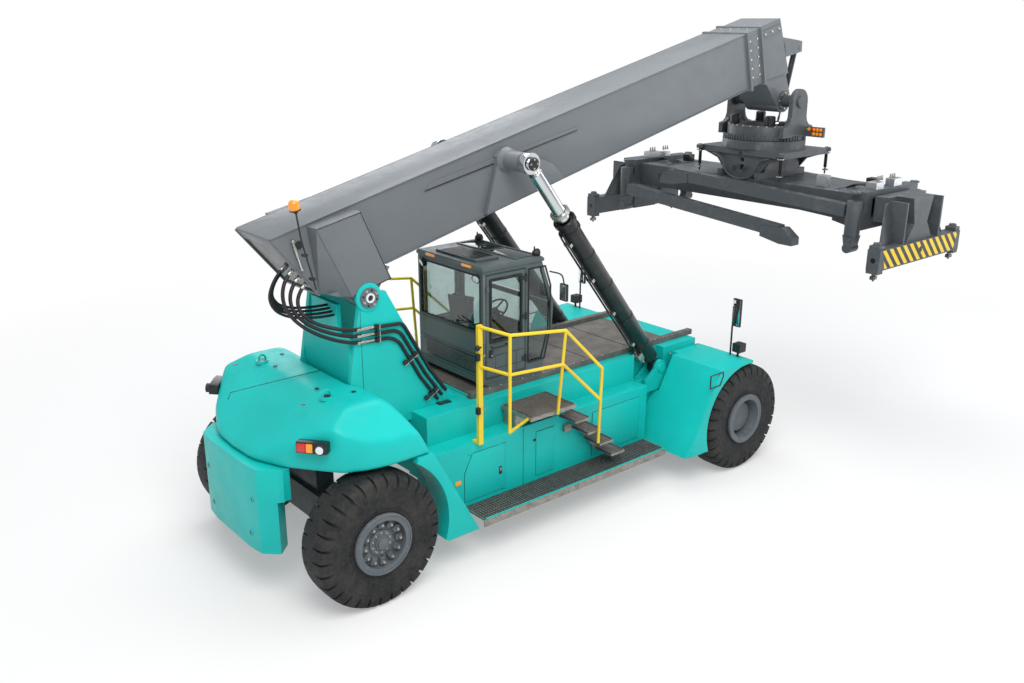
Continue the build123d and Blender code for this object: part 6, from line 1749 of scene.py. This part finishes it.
class STACKER_OT_spreader(bpy.types.Operator):
    """Gear ring, lamps, motors, valve fittings, hoses, hinges, warning stripes and corner fittings"""
    bl_idname = "stacker.spreader"
    bl_label = "Spreader"

    def execute(self, context):
        self.yoke()
        self.slew()
        self.frame()
        for name, hand in SIDES:
            self.arm(name, hand)
        return {"FINISHED"}

    def signals(self, shape, face):
        """The green, amber and red lamps on one face of the lamp bar."""
        x, out = face
        for k, finish in enumerate((GREEN, AMBER, RED)):
            spot = on_slew(x, SIGNAL_Y - LAMP_PITCH * k, LAMP_Z)
            shape.turned(spot, out, disc(0.028, 0.012, top=0.024, crown=0.018), finish, 22)

    def yoke(self):
        """The lamp bar's lamps, the gear ring's teeth, slewing motors, ring bolts and the pin's caps."""
        shape = Shape()
        self.signals(shape, LAMP_FACES[0])
        amber = disc(0.029, 0.010, top=0.026, crown=0.016)
        for k in range(3):
            for row in range(2):
                for x, out in LAMP_FACES:
                    spot = on_slew(x, TURN_Y - LAMP_PITCH * k, LAMP_Z - LAMP_DROP * row)
                    shape.turned(spot, out, amber, AMBER, 22)
        self.signals(shape, LAMP_FACES[1])
        # teeth are cut finer on the real ring and are drawn about 60 mm apart so that they show
        for k in range(GEAR_TEETH):
            turn = 2 * math.pi * k / GEAR_TEETH
            if abs(math.sin(turn)) < 0.96 or math.cos(turn) < 0:
                spot = on_slew(GEAR_RADIUS * math.cos(turn), GEAR_RADIUS * math.sin(turn), 4.665)
                shape.block(spot, (0.030, 0.026, 0.07), CHARCOAL, Matrix.Rotation(turn, 3, "Z"), 0.003)
        motor = [(0.0, 0.0), (0.085, 0.0), (0.085, 0.14), (0.07, 0.16), (0.0, 0.16)]
        for angle in (0.25 * math.pi, 0.75 * math.pi, 1.25 * math.pi, 1.75 * math.pi):
            middle = on_slew(0.50 * math.cos(angle), 0.50 * math.sin(angle), 4.86)
            shape.turned(middle, Z, motor, BLACK, 28)
            shape.bolts(ring_points(middle + Z * 0.14, Z, 0.06, 6), Z, ZINC, 0.018)
        shape.bolts(ring_points(on_slew(0, 0, 4.85), Z, 0.60, 28), Z, ZINC, 0.026)
        cap = [(0.0, 0.0), (0.13, 0.0), (0.125, 0.02), (0.05, 0.028), (0.0, 0.028)]
        for hand in HANDS:
            shape.turned(HEAD_PIN + Y * hand * 0.52, Y * hand, cap, CHARCOAL, 40)
        shape.piece("yoke_gear_and_lamps", "yoke", "dark_grey_paint")

    def slew(self):
        """The slewing frame's holes as black discs of painted shade, saddle welds, the slope cylinders' caps
        and rings, and bolts.
        """
        shape = Shape()
        saddle = ((-0.58, 4.36), (-0.40, 4.30), (-0.26, 4.06), (0.0, 3.98), (0.26, 4.06), (0.40, 4.30),
                  (0.58, 4.36))
        cap = [(0.0, 0.0), (0.062, 0.0), (0.062, 0.05), (0.04, 0.07), (0.0, 0.07)]
        for front in HANDS:
            for y, z, wide in ((0.0, 4.40, 0.04), (-0.10, 4.16, 0.045), (0.10, 4.16, 0.045)):
                # each hole is a thin black disc: painted shade
                shape.turned(on_slew(front * 0.618, y, z), X * front, disc(wide, 0.003), BLACK, 24)
            shape.tube(curved([on_slew(front * 0.622, y, z) for y, z in saddle], 5), 0.014, CHARCOAL)
            for hand in HANDS:
                corner = on_slew(front * 0.66, hand * 0.83, 4.0)
                shape.turned(corner + Z * 0.42, Z, cap, CHARCOAL, 24)
                for height in (0.10, 0.38):
                    shape.turned(corner + Z * height, Z, band(0.040, 0.054, 0.018), ZINC, 24)
        for k in range(6):
            angle = math.pi * (0.25 + 0.3 * k)
            shape.bolt(on_slew(0.46 * math.cos(angle), 0.46 * math.sin(angle), 4.53), Z, 0.04, ZINC)
        shape.piece("slew_plate_fittings", "slew", "dark_grey_paint")

    def frame(self):
        """Valve fittings, hoses, access holes as black discs of painted shade, a cable tray, a junction box,
        bolts and the legs' hinges.
        """
        shape = Shape()
        for hand in HANDS:
            for x in (-0.26, 0.10):
                for k in range(3):
                    seat = on_slew(x + 0.06 * k, hand * 2.33, 4.186)
                    shape.rod(seat, seat + Z * 0.035, 0.018, ZINC, sides=6, soft=0.002)
                    shape.rod(seat + Z * 0.03, seat + Z * 0.07, 0.013, ZINC, sides=12)
            for k in range(4):
                start = on_slew(-0.20 + 0.05 * k, hand * 2.20, 4.03)
                steps = ((0, 0, 0), (0.02, -0.12, 0.05), (-0.02, -0.28, 0.04), (0.02 * k, -0.42, -0.02))
                route = [start + Vector((x, hand * y, z)) for x, y, z in steps]
                shape.tube(curved(route, 5), sizes().hose_radius, HOSE, sides=8)
            for front in HANDS:
                for y in (0.55, 1.15, 1.75):
                    hole = on_slew(front * 0.599, hand * y, 3.81)
                    # each access hole is a thin black disc: painted shade
                    shape.turned(hole, X * front, disc(0.055, 0.003), BLACK, 24)
            tray = (hand * 1.73, hand * 1.75)
            shape.span((SLEW.x - 0.45, SLEW.x + 0.45), tray, (4.0, 4.012), CHARCOAL, 0.003)
            shape.block(on_slew(0.35, hand * 1.90, 4.06), (0.16, 0.15, 0.13), BLACK, soft=0.012)
            seats = [on_slew(x, hand * y, 4.0) for x in (-0.52, 0.52) for y in (1.8, 2.1)]
            shape.bolts(seats, Z, ZINC, 0.028)
            cap = [(0.0, 0.0), (0.075, 0.0), (0.07, 0.022), (0.03, 0.03), (0.0, 0.03)]
            for front in HANDS:
                hinge = on_slew(front * 0.86, hand * 2.34, 4.055)
                shape.turned(hinge, Z, cap, CHARCOAL, 32)
                shape.bolts(ring_points(hinge + Z * 0.02, Z, 0.05, 4), Z, ZINC, 0.018)
        shape.piece("spreader_frame_fittings", "spreader", "dark_grey_paint")

    def arm(self, name, hand):
        """One end beam: hazard stripes, corner housings, a braced frame and twistlock gear."""
        shape = Shape()
        out = Y * hand
        stripes = [on_slew(x, hand * BEAM_END, z) for x, z in ((-1.03, 3.05), (1.03, 3.05), (1.12, 3.33),
                                                               (-1.12, 3.33))]
        shape.prism(stripes, out * 0.0003, HAZARD, 0)
        shape.turned(on_slew(-0.02, hand * (BEAM_END - 0.0015), 3.20), out, disc(0.052, 0.002), BLACK, 28)
        for front in HANDS:
            self.corner(shape, front, hand)
        plate = ((-0.36, 3.34), (0.36, 3.34), (0.17, 3.60), (0.17, 3.90), (-0.17, 3.90), (-0.17, 3.60))
        shape.prism([on_slew(x, hand * 2.86, z) for x, z in plate], out * 0.020, SLATE)
        lid = (hand * 2.705, hand * 2.88)
        shape.span((SLEW.x - 0.30, SLEW.x + 0.30), lid, (3.90, 3.92), CHARCOAL)
        shape.piece("end_beam_fittings_" + name, "telescope_" + name, "dark_grey_paint")

    def corner(self, shape, front, hand):
        """One corner of a beam: housing, locking gear's cap and bolts, landing pins, a hole drawn as a black
        disc of painted shade, and a brace.
        """
        x = front * CORNER_X
        housing = (SLEW.x + x - 0.070, SLEW.x + x + 0.070)
        shape.span(housing, (hand * 2.84, hand * 3.015), (3.335, BEAM_TOP), CHARCOAL, 0.008)
        cap = [(0.0, 0.0), (0.06, 0.0), (0.055, 0.035), (0.02, 0.045), (0.0, 0.045)]
        shape.turned(on_slew(x, hand * CORNER_Y, BEAM_TOP), Z, cap, CHARCOAL, 28)
        shape.bolts(ring_points(on_slew(x, hand * CORNER_Y, 3.435), Z, 0.04, 4), Z, ZINC, 0.016)
        for dy in (-0.055, 0.055):
            top, low = [on_slew(x + front * 0.045, hand * CORNER_Y + dy, z) for z in (3.04, 2.995)]
            shape.rod(top, low, 0.014, ZINC, sides=14)
        hole = on_slew(x + front * 0.0695, hand * CORNER_Y, 3.18)
        # the hole is a thin black disc: painted shade
        shape.turned(hole, X * front, disc(0.04, 0.0009), BLACK, 24)
        brace = ((0.52, 2.835, 3.345), (0.92, 2.835, 3.345), (0.66, 2.71, 3.92), (0.52, 2.71, 3.95))
        outline = [on_slew(front * a, hand * b, c) for a, b, c in brace]
        shape.prism(outline, Y * hand * 0.022, CHARCOAL)


# ---- stage ----

# the camera stands this far from the ground under the rear axle, in metres
CAMERA_PLACE = (-5.1836, -10.0872, 6.4618)
CAMERA_LENS_MM = 34.06
CAMERA_TURN = (math.radians(71.82), math.radians(-0.14), math.radians(-40.10))
FLOOR_REACH = 70
# the floor turns to plain white between these distances from its middle, in metres
WHITE_FROM, WHITE_FULL = 7.0, 15.0
# name, place, aim, size in metres, power in watts, colour
LAMPS = (
    ("key_lamp", (-7, -9, 13), (0, 0, 1.5), 9, 1500, (1, 0.985, 0.96)),
    ("top_lamp", (2, 3, 15), (0, 0, 1), 12, 1500, (1, 1, 1)),
    ("fill_lamp", (12, -8, 6), (1, 0, 2.5), 8, 420, (0.94, 0.97, 1)),
    ("back_lamp", (4, 14, 7), (0, 0, 2), 9, 420, (0.95, 0.97, 1)),
)


class STACKER_OT_stage(bpy.types.Operator):
    """Floor, soft lamps, world and camera"""
    bl_idname = "stacker.stage"
    bl_label = "Stage"

    def execute(self, context):
        scene = context.scene
        self.floor(scene)
        self.world(scene)
        for name, stand, aim, size, power, shade in LAMPS:
            lamp = bpy.data.lights.new(name, "AREA")
            lamp.energy, lamp.size, lamp.color = power, size, shade
            holder = bpy.data.objects.new(name, lamp)
            holder.location = stand
            holder.rotation_euler = (Vector(aim) - Vector(stand)).to_track_quat("-Z", "Y").to_euler()
            scene.collection.objects.link(holder)
        camera = bpy.data.objects.new("camera", bpy.data.cameras.new("camera"))
        camera.data.lens = CAMERA_LENS_MM
        camera.data.sensor_width = 36
        camera.data.clip_end = 300
        camera.location = at(*CAMERA_PLACE)
        camera.rotation_euler = CAMERA_TURN
        scene.collection.objects.link(camera)
        scene.camera = camera
        scene.view_settings.view_transform = "Standard"
        return {"FINISHED"}

    def floor(self, scene):
        """A wide flat floor of seamless paper."""
        mesh = bpy.data.meshes.new("floor")
        corners = [(x * FLOOR_REACH, y * FLOOR_REACH, 0) for x, y in ((-1, -1), (1, -1), (1, 1), (-1, 1))]
        mesh.from_pydata(corners, [], [(0, 1, 2, 3)])
        mesh.materials.append(self.floor_finish())
        floor = bpy.data.objects.new("floor", mesh)
        scene.collection.objects.link(floor)

    def floor_finish(self):
        """Seamless white paper that shows white away from the machine and keeps its shadow."""
        made = bpy.data.materials.new("matt_paper_backdrop")
        made.use_nodes = True
        tree = made.node_tree
        tree.nodes.clear()
        paper = add(tree, "BsdfDiffuse", {"Color": (0.80, 0.80, 0.80, 1), "Roughness": 1.0})
        white = add(tree, "Emission", {"Color": (1, 1, 1, 1), "Strength": 1.0})
        rays = add(tree, "LightPath")
        mirrored = add(tree, "Math", {0: rays.outputs["Is Glossy Ray"],
                                      1: rays.outputs["Is Transmission Ray"]}, operation="MAXIMUM")
        seen = add(tree, "Math", {0: rays.outputs["Is Camera Ray"], 1: mirrored}, operation="MAXIMUM")
        spot = add(tree, "VectorMath", {0: add(tree, "TexCoord").outputs["Object"]}, operation="LENGTH")
        away = add(tree, "MapRange", {"Value": spot.outputs["Value"], "From Min": WHITE_FROM,
                                      "From Max": WHITE_FULL, "To Min": 0.30})
        share = add(tree, "Math", {0: seen, 1: away}, operation="MULTIPLY")
        add(tree, "OutputMaterial", {"Surface": add(tree, "MixShader", {0: share, 1: paper, 2: white})})
        return made

    def world(self, scene):
        """An even pale sky that shows as white."""
        scene.world = bpy.data.worlds.new("studio")
        scene.world.use_nodes = True
        tree = scene.world.node_tree
        tree.nodes.clear()
        soft = add(tree, "Background", {"Color": (0.92, 0.95, 1, 1), "Strength": 0.55})
        white = add(tree, "Background", {"Color": (1, 1, 1, 1), "Strength": 1.0})
        rays = add(tree, "LightPath")
        seen = add(tree, "Math", {0: rays.outputs["Is Camera Ray"], 1: rays.outputs["Is Transmission Ray"]},
                   operation="MAXIMUM")
        add(tree, "OutputWorld", {"Surface": add(tree, "MixShader", {0: seen, 1: soft, 2: white})})


# ---- panel and order of work ----

OPERATORS = [STACKER_OT_stage, STACKER_OT_free_hoses, STACKER_OT_finish_nodes, STACKER_OT_tyres,
             STACKER_OT_wheel_fittings, STACKER_OT_boom, STACKER_OT_tower, STACKER_OT_hood,
             STACKER_OT_sides, STACKER_OT_cab, STACKER_OT_seat, STACKER_OT_rails,
             STACKER_OT_lift_cylinders, STACKER_OT_spreader]


class STACKER_PT_panel(bpy.types.Panel):
    """Sizes, colours and buttons for each group of pieces"""
    bl_idname = "STACKER_PT_panel"
    bl_label = "Reach stacker"
    bl_space_type = "VIEW_3D"
    bl_region_type = "UI"
    bl_category = "Stacker"

    def draw(self, context):
        for group in (context.scene.stacker_sizes, context.scene.stacker_colours):
            column = self.layout.column()
            for name in group.bl_rna.properties.keys():
                if name not in ("name", "rna_type"):
                    column.prop(group, name)
        for operator in OPERATORS:
            self.layout.operator(operator.bl_idname)


CLASSES = [StackerSizes, StackerColours, *OPERATORS, STACKER_PT_panel]


def register():
    for cls in CLASSES:
        bpy.utils.register_class(cls)
    bpy.types.Scene.stacker_sizes = PointerProperty(type=StackerSizes)
    bpy.types.Scene.stacker_colours = PointerProperty(type=StackerColours)


def unregister():
    del bpy.types.Scene.stacker_sizes
    del bpy.types.Scene.stacker_colours
    for cls in reversed(CLASSES):
        bpy.utils.unregister_class(cls)


def main():
    register()
    make_materials()
    for operator in OPERATORS:
        group, name = operator.bl_idname.split(".")
        getattr(getattr(bpy.ops, group), name)()


if __name__ == "__main__":
    main()
